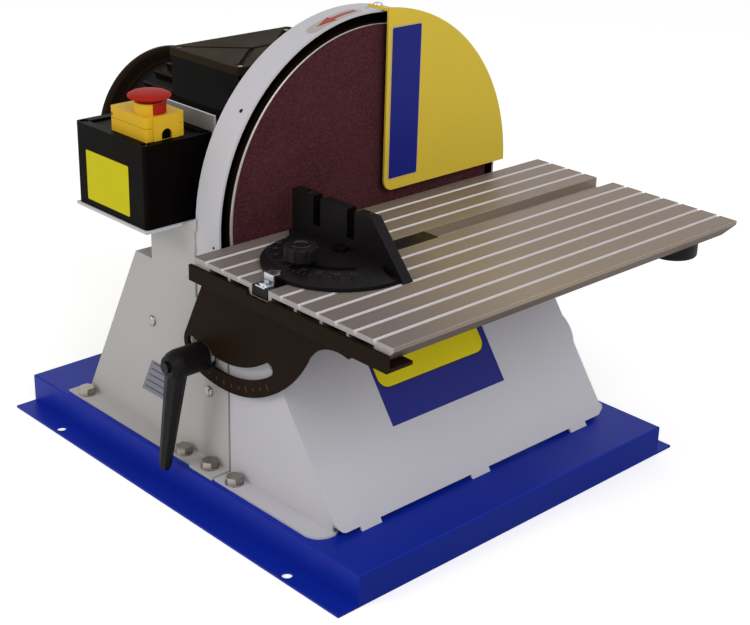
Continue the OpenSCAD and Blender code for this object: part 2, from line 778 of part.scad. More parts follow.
module switch_flap() {
  knuckle_x = lug_x - sw_wall - flap_gap;
  color("gold") difference() {
    union() {
      difference() {
        translate([sw_x, sw_y, sw_split + flap_gap]) linear_extrude(sw_flap_h - flap_gap)
          rounded_outline(sw_w, sw_l, sw_corner_r);
        block(sw_x - sw_w / 2 + sw_wall, sw_x + sw_w / 2 - sw_wall, sw_y - sw_l / 2 + sw_wall,
              sw_y + sw_l / 2 + over, sw_split - over, sw_top - sw_wall);
        block(sw_x - sw_w, sw_x + sw_w, pin_y + 0.3 * pin_d, sw_y + sw_l, sw_split - over,
              pin_z - pin_d / 6);
      }
      rod_z(stop_neck_d + 2 * sw_wall, sw_top - sw_wall, sw_top + stop_collar_h, stop_x, stop_y);
      rod_x(1.8 * pin_d, sw_x - knuckle_x, sw_x + knuckle_x, pin_y, pin_z);
      block(sw_x - knuckle_x, sw_x + knuckle_x, pin_y - 0.9 * pin_d, pin_y + 0.9 * pin_d, pin_z,
            sw_top - run_gap);
    }
    rod_z(stop_neck_d + 2 * slide_gap, sw_split - over, sw_top + 2 * stop_collar_h, stop_x, stop_y);
    rod_x(pin_d + 2 * run_gap, sw_x - sw_w, sw_x + sw_w, pin_y, pin_z);
    block(sw_x - key_w / 4, sw_x + key_w / 4, sw_y - sw_l, sw_y - sw_l / 2 + sw_wall + over,
          sw_split - over,
          sw_split + sw_flap_h * 0.55);
  }
}

module stop_button() {
  r = stop_d / 2;
  color("red") translate([stop_x, stop_y, 0]) rotate_extrude() polygon([
    [0, stop_foot_z], [stop_neck_d / 2, stop_foot_z], [stop_neck_d / 2, stop_cap_z], [r * 0.94,
          stop_cap_z],
    [r, stop_cap_z + stop_cap_h * 0.25], [r * 0.97, stop_cap_z + stop_cap_h * 0.5],
    [r * 0.82, stop_cap_z + stop_cap_h * 0.78], [r * 0.5, stop_cap_z + stop_cap_h * 0.95],
    [0, stop_cap_z + stop_cap_h]]);
}

// A push key in its well
module push_key(k) {
  block(k[0] - key_w / 2, k[0] + key_w / 2, k[1] - key_l / 2, k[1] + key_l / 2,
        sbox_top - sbox_lid_t, sw_split + key_rise);
}

module stop_key() {
  color("firebrick") push_key(key_places[0]);
}

module start_key() {
  color("green") push_key(key_places[1]);
}

module flap_pin() {
  color("silver") rod_x(pin_d, sw_x - lug_x - sw_wall, sw_x + lug_x + sw_wall, pin_y, pin_z);
}

// Motor: bells, finned body, stator, rotor, shaft, bearings, fan and fan cover

bell_t = 18;
body_y0 = guard_y1 + bell_t;
body_y1 = body_y0 + motor_l;
fin_h = 6;
fin_t = 3;
fin_count = 28;
shell_r = motor_r - fin_h;
shell_t = 6;
stator_l = motor_l * 0.55;
stator_y0 = body_y0 + motor_l * 0.2;
rotor_r = shell_r * 0.55;
air_gap = 0.5;
rotor_shaft_d = 25;
front_seat_d = 20;
front_bearing_d = 47;
front_bearing_w = 14;
rear_seat_d = 17;
rear_bearing_d = 40;
rear_bearing_w = 12;
rear_bell_t = 24;
rear_web = 3;
rear_bell_y1 = body_y1 + rear_bell_t;
fan_gap = 4;
fan_y0 = rear_bell_y1 + fan_gap;
fan_w = 26;
fan_r = 46;
fan_hub_r = 16;
fan_blades = 8;
fan_blade_t = 2.5;
rim_r = 78;
rim_w = 7;
rim_y0 = rear_bell_y1 - rim_w;
fan_cover_r = 72;
fan_tail_r = 50;
fan_cover_l = 38;
fan_cover_t = 1.5;
grille_slot_w = 5;
grille_rings = [14, 26, 38];

module front_bell() {
  r = shell_r;
  color("dimgray") difference() {
    turned_y(guard_y1) polygon([
      [front_seat_d * 0.6, 0], [r, 0], [r + fin_h, bell_t * 0.3], [r + fin_h, bell_t], [r - shell_t,
            bell_t],
      [r - shell_t, bell_t * 0.45], [front_bearing_d * 0.65, bell_t * 0.45], [front_bearing_d * 0.65,
            bell_t + over],
      [front_bearing_d / 2 + run_gap, bell_t + over], [front_bearing_d / 2 + run_gap,
            bell_t + over - front_bearing_w],
      [front_seat_d * 0.6, bell_t + over - front_bearing_w]]);
    at_motor_bolts() rotate([-90, 0, 0]) translate([0, 0, guard_y1 - over])
      cylinder(d = motor_bolt_d + 2 * run_gap, h = bell_t);
  }
}

module motor_body() {
  color("dimgray") {
    turned_y(body_y0) translate([shell_r - shell_t, 0]) square([shell_t, motor_l]);
    for (i = [0:fin_count - 1])
      translate([0, body_y0, axis_z]) rotate([0, i * 360 / fin_count, 0])
        translate([shell_r - shell_t / 2, 0, -fin_t / 2])
          cube([motor_r - shell_r + shell_t / 2, motor_l, fin_t]);
  }
}

module rear_bell() {
  r = shell_r;
  color("dimgray") turned_y(body_y1) polygon([
    [rear_seat_d * 0.6, rear_bell_t - rear_web], [rear_bearing_d / 2 + run_gap, rear_bell_t - rear_web],
    [rear_bearing_d / 2 + run_gap, rear_bell_t - rear_web - rear_bearing_w], [rear_bearing_d * 0.65,
          rear_bell_t - rear_web - rear_bearing_w],
    [rear_bearing_d * 0.65, rear_bell_t * 0.6], [r - shell_t, rear_bell_t * 0.6], [r - shell_t, 0], [r,
          0],
    [r, rear_bell_t], [rear_seat_d * 0.6, rear_bell_t]]);
}

module stator() {
  color("darkgoldenrod") turned_y(stator_y0) translate([rotor_r + air_gap, 0])
    square([shell_r - shell_t - run_gap - rotor_r - air_gap, stator_l]);
}

module rotor() {
  color("silver") turned_y(stator_y0) translate([rotor_shaft_d / 2 + run_gap, 0])
    square([rotor_r - rotor_shaft_d / 2 - run_gap, stator_l]);
}

hub_r = 30;
hub_gap = 5;
hub_y1 = plate_y0 - hub_gap;
shaft_end_web = 3;
shaft_y0 = face_y + abrasive_t + shaft_end_web;
front_bearing_y0 = guard_y1 + bell_t + over - front_bearing_w;
front_bearing_y1 = front_bearing_y0 + front_bearing_w;
rear_bearing_y0 = body_y1 + rear_bell_t - rear_web - rear_bearing_w;

module motor_shaft() {
  color("silver") {
    rod_y(shaft_d, shaft_y0, front_bearing_y0 - over, 0, axis_z);
    rod_y(front_seat_d, front_bearing_y0 - over - run_gap, front_bearing_y1 + run_gap, 0, axis_z);
    rod_y(rotor_shaft_d, front_bearing_y1, rear_bearing_y0, 0, axis_z);
    rod_y(rear_seat_d, rear_bearing_y0 - run_gap, fan_y0 + fan_w, 0, axis_z);
  }
}

// A ball bearing drawn as one ring with a groove on each face
module bearing(y0, bore, outside, w) {
  groove = w * 0.12;
  r0 = bore / 2 + run_gap;
  r1 = outside / 2;
  color("silver") turned_y(y0) polygon([
    [r0, 0], [r0 + (r1 - r0) * 0.3, 0], [r0 + (r1 - r0) * 0.35, groove], [r0 + (r1 - r0) * 0.65, groove],
    [r0 + (r1 - r0) * 0.7, 0], [r1, 0], [r1, w], [r0 + (r1 - r0) * 0.7, w], [r0 + (r1 - r0) * 0.65,
          w - groove],
    [r0 + (r1 - r0) * 0.35, w - groove], [r0 + (r1 - r0) * 0.3, w], [r0, w]]);
}

module front_bearing() {
  bearing(front_bearing_y0, front_seat_d, front_bearing_d, front_bearing_w);
}

module rear_bearing() {
  bearing(rear_bearing_y0, rear_seat_d, rear_bearing_d, rear_bearing_w);
}

module cooling_fan() {
  color("black") difference() {
    union() {
      rod_y(2 * fan_hub_r, fan_y0, fan_y0 + fan_w, 0, axis_z);
      rod_y(2 * fan_r, fan_y0, fan_y0 + fan_blade_t, 0, axis_z);
      for (i = [0:fan_blades - 1])
        translate([0, fan_y0, axis_z]) rotate([0, i * 360 / fan_blades, 0])
          translate([fan_hub_r - over, 0, -fan_blade_t / 2]) cube([fan_r - fan_hub_r, fan_w,
                fan_blade_t]);
    }
    rod_y(rear_seat_d + 2 * run_gap, fan_y0 - over, fan_y0 + fan_w + over, 0, axis_z);
  }
}

module fan_cover() {
  cover_l = rim_w + fan_cover_l;
  cover_y1 = rim_y0 + cover_l;
  rim_set = rim_w * 0.7;
  t = fan_cover_t;
  color("dimgray") difference() {
    turned_y(rim_y0) polygon([
      [shell_r, 0], [shell_r + t, 0], [shell_r + t, rim_set], [rim_r - rim_w / 3, rim_set],
      [rim_r, rim_set + rim_w / 3], [rim_r, rim_set + rim_w], [fan_cover_r, rim_set + rim_w],
      [fan_tail_r, cover_l], [0, cover_l], [0, cover_l - t], [fan_tail_r - t, cover_l - t],
      [fan_cover_r - t, rim_set + rim_w], [fan_cover_r - t, rim_set + t], [shell_r, rim_set + t]]);
    for (g = grille_rings, i = [0:5])
      translate([0, cover_y1, axis_z]) rotate([90, 0, 0]) rotate([0, 0, i * 60 + 6])
        rotate_extrude(angle = 48) translate([g, -over]) square([grille_slot_w, fan_cover_t + 2 * over]);
  }
}

module motor_bolts() {
  color("silver") at_motor_bolts() rotate([-90, 0, 0]) {
    translate([0, 0, plate_y0]) cylinder(d = motor_bolt_d, h = back_plate_t + bell_t * 0.6);
    translate([0, 0, plate_y0 - foot_bolt_head]) cylinder(d = foot_bolt_af / cos(30), h = foot_bolt_head,
          $fn = 6);
  }
}

// Capacitor box on top of the motor

cbox_w = 138;
cbox_l = 98;
cbox_set = 61.2;
cbox_rise = 29.5;
cbox_y0 = guard_y1 + cbox_set;
cbox_y1 = cbox_y0 + cbox_l;
cbox_z1 = axis_z + motor_r + cbox_rise;
cbox_z0 = axis_z + motor_r * 0.64;
cbox_taper = 18;
cbox_draft = 1;
cbox_wall = 3;
clid_t = 7;
clid_lap = 1.5;
cap_d = 24;
cap_l = 74;
cbox_floor = axis_z + motor_r + cbox_wall;
clid_groove = 3;
clid_groove_w = 5;

module capacitor_box() {
  color("dimgray") difference() {
    across_y(cbox_y0, cbox_y1) polygon([
      [-cbox_w / 2 + cbox_taper, cbox_z0], [cbox_w / 2 - cbox_taper, cbox_z0],
      [cbox_w / 2 - cbox_draft, cbox_z0 + cbox_taper], [cbox_w / 2, cbox_z1], [-cbox_w / 2, cbox_z1],
      [-cbox_w / 2 + cbox_draft, cbox_z0 + cbox_taper]]);
    rod_y(2 * (motor_r + run_gap), cbox_y0 - over, cbox_y1 + over, 0, axis_z);
    block(-cbox_w / 2 + cbox_wall, cbox_w / 2 - cbox_wall, cbox_y0 + cbox_wall, cbox_y1 - cbox_wall,
          cbox_floor, cbox_z1 + over);
    at_cap_screws() translate([0, 0, cbox_z1 - 2 * clid_t]) cylinder(d = lid_screw_d + 2 * run_gap,
          h = 3 * clid_t);
  }
  color("dimgray") difference() {
    at_cap_screws() translate([0, 0, cbox_floor - over]) cylinder(d = 2.4 * lid_screw_d,
          h = cbox_z1 - cbox_floor + over);
    at_cap_screws() translate([0, 0, cbox_z1 - 2 * clid_t]) cylinder(d = lid_screw_d + 2 * run_gap,
          h = 3 * clid_t);
  }
}

module at_cap_screws() {
  for (sx = [-1, 1], sy = [-1, 1])
    translate([sx * (cbox_w / 2 - lid_screw_inset),
          (cbox_y0 + cbox_y1) / 2 + sy * (cbox_l / 2 - lid_screw_inset), 0])
      children();
}

module capacitor_lid() {
  lid_w = cbox_w + 2 * clid_lap;
  lid_l = cbox_l + 2 * clid_lap;
  arm_l = lid_w * 0.48;
  color("dimgray") translate([0, (cbox_y0 + cbox_y1) / 2, cbox_z1]) difference() {
    linear_extrude(clid_t) rounded_outline(lid_w, lid_l, sbox_corner_r);
    for (s = [-1, 1]) translate([s * lid_w * 0.1, 0, clid_t - clid_groove]) for (a = [-1, 1])
      rotate([0, 0, 90 - s * 90 + a * 42]) translate([0, -clid_groove_w / 2, 0]) cube([arm_l,
            clid_groove_w, clid_groove + over]);
    translate([-lid_w * 0.1, -clid_groove_w / 2, clid_t - clid_groove]) cube([lid_w * 0.2, clid_groove_w,
          clid_groove + over]);
    translate([0, -(cbox_y0 + cbox_y1) / 2, -over]) at_cap_screws() {
      cylinder(d = lid_screw_d + 2 * run_gap, h = clid_t + 2 * over);
      translate([0, 0, clid_t / 2 + over]) cylinder(d = 2 * lid_screw_d, h = clid_t);
    }
  }
}

module capacitor_screws() {
  color("silver") at_cap_screws() translate([0, 0, cbox_z1 - 1.5 * clid_t]) {
    cylinder(d = lid_screw_d, h = 2 * clid_t + over / 2);
    translate([0, 0, 2 * clid_t]) cylinder(d = 1.8 * lid_screw_d, h = lid_screw_d * 0.6);
  }
}

module run_capacitor() {
  mid = (cbox_y0 + cbox_y1) / 2;
  color("silver") rod_y(cap_d, mid - cap_l / 2, mid + cap_l / 2, -cbox_w * 0.22, cbox_floor + cap_d / 2);
}

// Disc plate with its hub, the abrasive disc and the shaft key

key_side = 6;
abrasive_margin = 1;

module disc_plate() {
  rim_back = 1.5;
  color("silver") difference() {
    turned_y(face_y + abrasive_t) polygon([
      [0, 0], [disc_r, 0], [disc_r, disc_t - rim_back / 2], [disc_r - rim_back / 2, disc_t],
            [hub_r * 1.3, disc_t],
      [hub_r, disc_t + hub_r * 0.3], [hub_r, hub_y1 - face_y - abrasive_t], [0,
            hub_y1 - face_y - abrasive_t]]);
    rod_y(shaft_d + 2 * run_gap, shaft_y0 - over / 2, hub_y1 + over, 0, axis_z);
    block(-key_side / 2 - run_gap, key_side / 2 + run_gap, shaft_y0 + over, hub_y1 + over, axis_z,
          axis_z + shaft_d / 2 + key_side * 0.5);
  }
}

module abrasive_disc() {
  color("maroon") rod_y(disc_d - abrasive_margin, face_y, face_y + abrasive_t, 0, axis_z);
}

module shaft_key() {
  color("silver") block(-key_side / 2, key_side / 2, shaft_y0 + 2 * over, hub_y1 - over,
        axis_z + shaft_d / 2 + run_gap,
                        axis_z + shaft_d / 2 + key_side * 0.48);
}

// Table: an extrusion with slats, a mitre slot, hollow chambers and bevelled edges

table_skin = 4.5;
table_floor = 2.5;
table_web = 3;
table_bevel = table_t - table_land;
rear_slats = floor((slot_set - slot_w / 2 - groove_w) / slat_pitch);
slot_front = slot_set + slot_w / 2;
front_slats = floor((table_d - slot_front - table_web) / slat_pitch);
slot_wall = 4;
rear_groove_set = 17;
front_groove_set = 16;
chamber_rear = table_bevel + table_land + table_web;
chamber_mid = slot_set - slot_w / 2 - slot_wall;
chamber_fore = slot_front + slot_wall;
chamber_front = table_d - table_bevel - table_land - table_web;
chamber_count_rear = 2;
chamber_count_front = 4;

// Grooves as distances from the rear edge
rear_grooves = [for (i = [0:rear_slats - 1]) rear_groove_set + i * slat_pitch];
front_grooves = [for (i = [0:front_slats - 1]) slot_front + front_groove_set + i * slat_pitch];

// A row of hollow chambers between two distances from the rear edge
module chambers(d0, d1, count) {
  cell = (d1 - d0 - (count - 1) * table_web) / count;
  for (i = [0:count - 1])
    translate([table_rear - d0 - i * (cell + table_web) - cell, table_bottom + table_floor])
      square([cell, table_t - table_floor - table_skin]);
}

// A groove with its rear wall laid back
module groove_outline() {
  polygon([[-groove_w * 0.4, over], [-groove_w * 0.4, -groove_depth], [groove_w * 0.4, -groove_depth],
           [groove_w * 0.8, 0], [groove_w * 0.8, over]]);
}

module table_outline() {
  difference() {
    polygon([[table_rear, table_top], [table_rear, table_top - table_land], [table_rear - table_bevel,
          table_bottom],
             [table_front + table_bevel, table_bottom], [table_front, table_top - table_land],
                   [table_front, table_top]]);
    translate([slot_y - slot_w / 2, table_top - slot_depth]) square([slot_w, slot_depth + over]);
    for (g = concat(rear_grooves, front_grooves)) if (g < table_d - groove_w)
      translate([table_rear - g, table_top]) groove_outline();
    chambers(chamber_rear, chamber_mid, chamber_count_rear);
    chambers(chamber_fore, chamber_front, chamber_count_front);
  }
}

module table() {
  color("darkgray") difference() {
    across_x(table_x0, table_x1) table_outline();
    both_sides() flange_holes(flange_screw_d, table_bottom - over, table_bottom + table_floor + over);
    knob_hole(table_bottom - over, table_bottom + table_floor + over);
  }
}

// Holes for the flange screws on one side
module flange_holes(d, z0, z1) {
  for (s = flange_screw_shares)
    rod_z(d + foot_bolt_clear, z0, z1, flange_screw_x, table_rear - s * table_d);
}

// Hole for the stud of the knob under the table's right end
module knob_hole(z0, z1) {
  rod_z(knob_stud_d + foot_bolt_clear, z0, z1, knob_x, knob_y);
}

// Trunnions: a plate with an arc slot below a flange that carries the table

plate_edge_w = 20;
plate_r = arc_r + plate_edge_w;
plate_neck_rear = 24;
plate_neck_drop = 31;
plate_rear_shares = [[0.428, -0.72], [0.436, -0.755], [0.434, -0.79], [0.424, -0.825], [0.406, -0.858],
                     [0.378, -0.9], [0.308, -1]];
plate_fore_shares = [[-0.9, -1], [-0.9, -0.4]];
plate_tail_shares = [[-0.33, -0.488], [-1.29, -0.26]];
plate_fillet_shares = [-1.1785, -0.6585];
plate_fillet_r = plate_r * (norm(plate_fillet_shares) - 0.998);
plate_joint_shares = plate_fillet_shares / norm(plate_fillet_shares);

// A disc about the tilt axis cut to a neck and a lobe, then a tail with a hollow fillet below the flange
module plate_outline() {
  translate([pivot_y, pivot_z]) {
    intersection() {
      circle(r = plate_r, $fn = 128);
      polygon(concat([[plate_neck_rear, -table_t], [plate_neck_rear, -plate_neck_drop]],
                     plate_r * concat(plate_rear_shares, plate_fore_shares), [[-plate_r / 2, -table_t]]));
    }
    difference() {
      polygon(concat([[plate_tail_shares[0][0] * plate_r, -table_t]],
                     plate_r * [plate_tail_shares[0], plate_joint_shares, plate_fillet_shares,
                                plate_tail_shares[1]],
                     [[plate_tail_shares[1][0] * plate_r, -table_t]]));
      translate(plate_r * plate_fillet_shares) circle(r = plate_fillet_r, $fn = 96);
    }
  }
}

module trunnion(lip) {
  flange_rear = table_rear + trunnion_t;
  flange_front = lip ? table_front + trunnion_t : knob_y - knob_d * 0.3;
  color("darkslategray") difference() {
    union() {
      across_x(trunnion_x0, trunnion_x1) plate_outline();
      block(trunnion_x0, lip_x1, flange_front, flange_rear, table_bottom - trunnion_t, table_bottom);
      if (lip)
        block(lip_x1 - trunnion_t, lip_x1, flange_front, flange_rear, table_bottom - trunnion_t,
              table_bottom + lip_h);
    }
    arc_slot(arc_w, arc_front_angle, arc_rear_angle, trunnion_x0 - over, trunnion_x1 + over);
    flange_holes(flange_screw_d, table_bottom - trunnion_t - over, table_bottom + over);
    if (!lip) knob_hole(table_bottom - trunnion_t - over, table_bottom + over);
    block(table_left - over, lip_x1 + over, slot_y - slot_w / 2 - lip_gap, slot_y + slot_w / 2 + lip_gap,
          table_top - slot_depth - lip_gap, table_top);
  }
}

module left_trunnion() {
  left_side() trunnion(true);
}

module right_trunnion() {
  trunnion(false);
}

module trunnion_screws() {
  head_h = flange_screw_d * 0.6;
  color("silver") both_sides() for (s = flange_screw_shares) {
    rod_z(flange_screw_d, table_bottom - trunnion_t - head_h, table_bottom + table_floor + over / 2,
          flange_screw_x,
          table_rear - s * table_d);
    rod_z(2 * flange_screw_d, table_bottom - trunnion_t - head_h, table_bottom - trunnion_t,
          flange_screw_x,
          table_rear - s * table_d);
  }
}

module table_knobs() {
  color("black") {
    rod_z(knob_stud_d, table_bottom - trunnion_t - over, table_bottom + table_floor + over / 2, knob_x,
          knob_y);
    translate([knob_x, knob_y, table_bottom - trunnion_t - knob_h]) rotate_extrude() polygon([
      [0, 0], [knob_d / 2 - over, 0], [knob_d / 2, over], [knob_d / 2, knob_h - over],
      [knob_d / 2 - over, knob_h], [0, knob_h]]);
  }
}

// Guide blocks, lock studs and lock levers

module guide_blocks() {
  washer_r = washer_d / 2;
  color("silver") both_sides() difference() {
    union() {
      arc_bar(arc_w - 2 * slide_gap, stud_angle - block_half_angle,
            stud_angle + block_half_angle,
              post_x1, trunnion_x1);
      rod_x(2 * washer_r, post_x1, trunnion_x0 - slide_gap, stud_y, stud_z);
    }
    rod_x(stud_d + stud_clear, post_x1 - over, trunnion_x1 + over, stud_y, stud_z);
  }
}

module lock_studs() {
  head_t = stud_d * 0.6;
  color("silver") both_sides() {
    rod_x(stud_d, guard_r - sheet - over, hub_x0 + hub_l * 0.7, stud_y, stud_z);
    rod_x(2 * stud_d, guard_r - sheet - head_t, guard_r - sheet, stud_y, stud_z);
    difference() {
      rod_x(washer_d, trunnion_x1 + slide_gap, hub_x0 - run_gap, stud_y, stud_z);
      rod_x(stud_d - run_gap, trunnion_x1, hub_x0, stud_y, stud_z);
    }
  }
}

lever_lean = 12;
lever_root_w = 22;
lever_tip_w = 13;
lever_thick_share = 0.8;
lever_x = hub_x1 - lever_root_w * 0.475;

// A tapered eight-sided arm hangs from a turned hub
module lever() {
  color("black") difference() {
    union() {
      translate([hub_x0, stud_y, stud_z]) rotate([0, 90, 0]) rotate_extrude() polygon([
        [0, 0], [hub_d / 2, 0], [hub_d / 2, hub_l * 0.7], [hub_d * 0.45, hub_l * 0.86], [hub_d * 0.34,
              hub_l], [0, hub_l]]);
      translate([lever_x, stud_y, stud_z]) rotate([lever_lean, 0, 0]) hull() {
        for (e = [[0, lever_root_w], [-lever_l + lever_tip_w / 2, lever_tip_w], [-lever_l,
              lever_tip_w * 0.8]])
          translate([0, 0, e[0]]) scale([lever_thick_share, 1, 1])
            cylinder(d = e[1], h = run_gap, $fn = 8);
      }
    }
    rod_x(stud_d + 2 * run_gap, hub_x0 - over, hub_x0 + hub_l * 0.75, stud_y, stud_z);
    rod_x(lever_screw_d + 2 * run_gap, hub_x0 + hub_l * 0.7, hub_x1 + over, stud_y, stud_z);
  }
}

lever_screw_d = 6;
lever_screw_head = 3;

module lever_screw() {
  color("silver") {
    rod_x(lever_screw_d, hub_x0 + hub_l * 0.78, hub_x1 + over, stud_y, stud_z);
    rod_x(1.7 * lever_screw_d, hub_x1 + run_gap, hub_x1 + lever_screw_head, stud_y, stud_z);
  }
}

module left_lever() {
  left_side() lever();
}

module right_lever() {
  lever();
}

module left_lever_screw() {
  left_side() lever_screw();
}

module right_lever_screw() {
  lever_screw();
}

// Mitre gauge: bar, head with protractor and fence, pivot, lock knob and pointer

bar_gap = 0.25;
bar_overhang = 0.5;
bar_x0 = table_x0 - bar_overhang;
bar_x1 = bar_x0 + bar_l;
bar_z0 = table_top - slot_depth + slide_gap;
bar_z1 = table_top - slide_gap;
pivot_in = 81.5;
pivot_x = bar_x0 + pivot_in;
head_z0 = table_top + slide_gap;
head_t = 10;
head_z1 = head_z0 + head_t;
fence_t = 10;
fence_set = 6;
fence_x0 = pivot_x + fence_set;
lock_r = 40.5;
lock_stud_d = 6;
lock_slot_w = 7;
mknob_d = 27;
mknob_h = 14;
mknob_flutes = 10;
mpivot_d = 8;
fence_slot_w = 8.5;
fence_slot_h = 24;
fence_slot_shares = [0.52, -0.08];
fence_slope = 38;
fence_end_r = 6;
rim_slope_w = 17;
rim_edge_h = 3;

module mitre_bar() {
  color("dimgray") difference() {
    block(bar_x0, bar_x1, slot_y - slot_w / 2 + bar_gap, slot_y + slot_w / 2 - bar_gap, bar_z0, bar_z1);
    rod_z(mpivot_d - 2 * over, bar_z0 - over, bar_z1 + over, pivot_x, slot_y);
    rod_z(lock_stud_d + 2 * run_gap, bar_z0 - over, bar_z1 + over, pivot_x - lock_r, slot_y);
    rod_z(pscrew_d + 2 * run_gap, bar_z0 - over, bar_z1 + over, bar_x0 + pscrew_in, slot_y);
  }
}

module mitre_head() {
  color("black") difference() {
    union() {
      translate([pivot_x, slot_y, head_z0]) rotate([0, 0, 90]) rotate_extrude(angle = 180,
            $fn = 96) polygon([
        [0, 0], [head_r, 0], [head_r, rim_edge_h], [head_r - rim_slope_w, head_t], [0, head_t]]);
      block(pivot_x - over / 10, fence_x0 + over, slot_y - head_r, slot_y + fence_rear, head_z0,
            head_z0 + rim_edge_h);
      across_x(fence_x0, fence_x0 + fence_t) translate([slot_y, head_z0])
        polygon([[-fence_front, 0], [fence_rear, 0], [fence_rear, fence_h], [-fence_front + fence_slope,
              fence_h]]);
      across_x(pivot_x - over / 10, fence_x0 + over) translate([slot_y, head_z0])
        polygon([[-head_r + rim_slope_w, 0], [fence_rear - rim_edge_h, 0], [fence_rear - rim_edge_h,
              head_t],
                 [-head_r + rim_slope_w, head_t]]);
    }
    rod_z(mpivot_d + 2 * run_gap, head_z0 - over, head_z1 + over, pivot_x, slot_y);
    translate([pivot_x, slot_y, head_z0 - over]) {
      rotate([0, 0, 180 - swivel - 2]) rotate_extrude(angle = 2 * swivel + 4)
        translate([lock_r - lock_slot_w / 2, 0]) square([lock_slot_w, head_t + 2 * over]);
      for (a = [-1, 1]) rotate([0, 0, 180 + a * (swivel + 2)]) translate([lock_r, 0, 0])
        cylinder(d = lock_slot_w, h = head_t + 2 * over);
    }
    for (s = fence_slot_shares)
      block(fence_x0 - over, fence_x0 + fence_t + over, slot_y + s * fence_front - fence_slot_w / 2,
            slot_y + s * fence_front + fence_slot_w / 2, head_z0 + fence_h - fence_slot_h,
                  head_z0 + fence_h + over);
  }
}

module mitre_knob() {
  z0 = head_z1 + slide_gap;
  color("black") difference() {
    union() {
      translate([pivot_x - lock_r, slot_y, z0]) rotate_extrude() polygon([
        [0, 0], [mknob_d * 0.4, 0], [mknob_d / 2, mknob_h * 0.25], [mknob_d / 2, mknob_h * 0.9],
        [mknob_d * 0.46, mknob_h], [0, mknob_h]]);
      rod_z(lock_stud_d, bar_z0 + over, z0 + over, pivot_x - lock_r, slot_y);
    }
    for (i = [0:mknob_flutes - 1])
      translate([pivot_x - lock_r, slot_y, z0]) rotate([0, 0, i * 360 / mknob_flutes])
        translate([mknob_d * 0.54, 0, mknob_h * 0.2]) cylinder(d = mknob_d * 0.16, h = mknob_h);
  }
}

module mitre_pivot() {
  color("silver") {
    rod_z(mpivot_d - 2 * over - 2 * run_gap, bar_z0 + over, bar_z1 + over / 2, pivot_x, slot_y);
    rod_z(mpivot_d, bar_z1, head_z1 + run_gap, pivot_x, slot_y);
    rod_z(1.5 * mpivot_d, head_z1 + run_gap, head_z1 + mpivot_d * 0.4, pivot_x, slot_y);
  }
}

pointer_foot_l = 10;
pointer_l = 21;
pointer_w = 11;
pointer_t = 1.2;
pointer_rise = 9;
pscrew_in = 4.5;
pscrew_d = 4;
pscrew_head = 2.4;

// A Z-shaped strip: foot on the bar, riser, and a tip over the protractor's scale
module mitre_pointer() {
  color("silver") difference() {
    union() {
      block(bar_x0, bar_x0 + pointer_foot_l, slot_y - pointer_w / 2, slot_y + pointer_w / 2, bar_z1,
            bar_z1 + pointer_t);
      block(bar_x0 + pointer_foot_l - pointer_t, bar_x0 + pointer_foot_l, slot_y - pointer_w / 2,
            slot_y + pointer_w / 2, bar_z1, bar_z1 + pointer_rise);
      translate([bar_x0, slot_y, bar_z1 + pointer_rise - pointer_t]) linear_extrude(pointer_t) polygon([
        [pointer_foot_l - pointer_t, -pointer_w / 2], [pointer_l - pointer_w / 2, -pointer_w / 2],
              [pointer_l, 0],
        [pointer_l - pointer_w / 2, pointer_w / 2], [pointer_foot_l - pointer_t, pointer_w / 2]]);
    }
    rod_z(pscrew_d + foot_bolt_clear, bar_z1 - over, bar_z1 + pointer_t + over, bar_x0 + pscrew_in,
          slot_y);
  }
}

module pointer_screw() {
  color("silver") {
    rod_z(pscrew_d, bar_z0 + over, bar_z1 + pointer_t + over, bar_x0 + pscrew_in, slot_y);
    rod_z(1.9 * pscrew_d, bar_z1 + pointer_t, bar_z1 + pointer_t + pscrew_head, bar_x0 + pscrew_in,
          slot_y);
  }
}

base_tray();
motor_stand();
disc_guard();
left_post();
right_post();
dust_hood();
dust_outlet();
disc_cover();
cover_screws();
foot_bolts();
foot_nuts();
side_screws();
switch_bracket();
switch_box();
switch_box_lid();
lid_screws();
cable_gland();
switch_base();
switch_flap();
stop_button();
start_key();
stop_key();
flap_pin();
motor_body();
front_bell();
rear_bell();
fan_cover();
stator();
rotor();
motor_shaft();
front_bearing();
rear_bearing();
cooling_fan();
motor_bolts();
capacitor_box();
capacitor_lid();
capacitor_screws();
run_capacitor();
disc_plate();
abrasive_disc();
shaft_key();
table();
left_trunnion();
right_trunnion();
trunnion_screws();
table_knobs();
guide_blocks();
lock_studs();
left_lever();
right_lever();
left_lever_screw();
right_lever_screw();
mitre_bar();
mitre_head();
mitre_knob();
mitre_pivot();
mitre_pointer();
pointer_screw();
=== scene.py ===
"""Looks of a benchtop disc sander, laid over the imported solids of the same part.

Every size is in millimetres in the part's own frame and turns to metres where a mesh is made.
"""

import json
import logging
import math
from collections.abc import Callable, Iterable, Sequence
from dataclasses import dataclass
from enum import Enum

import bmesh
import bpy
from mathutils import Matrix, Vector

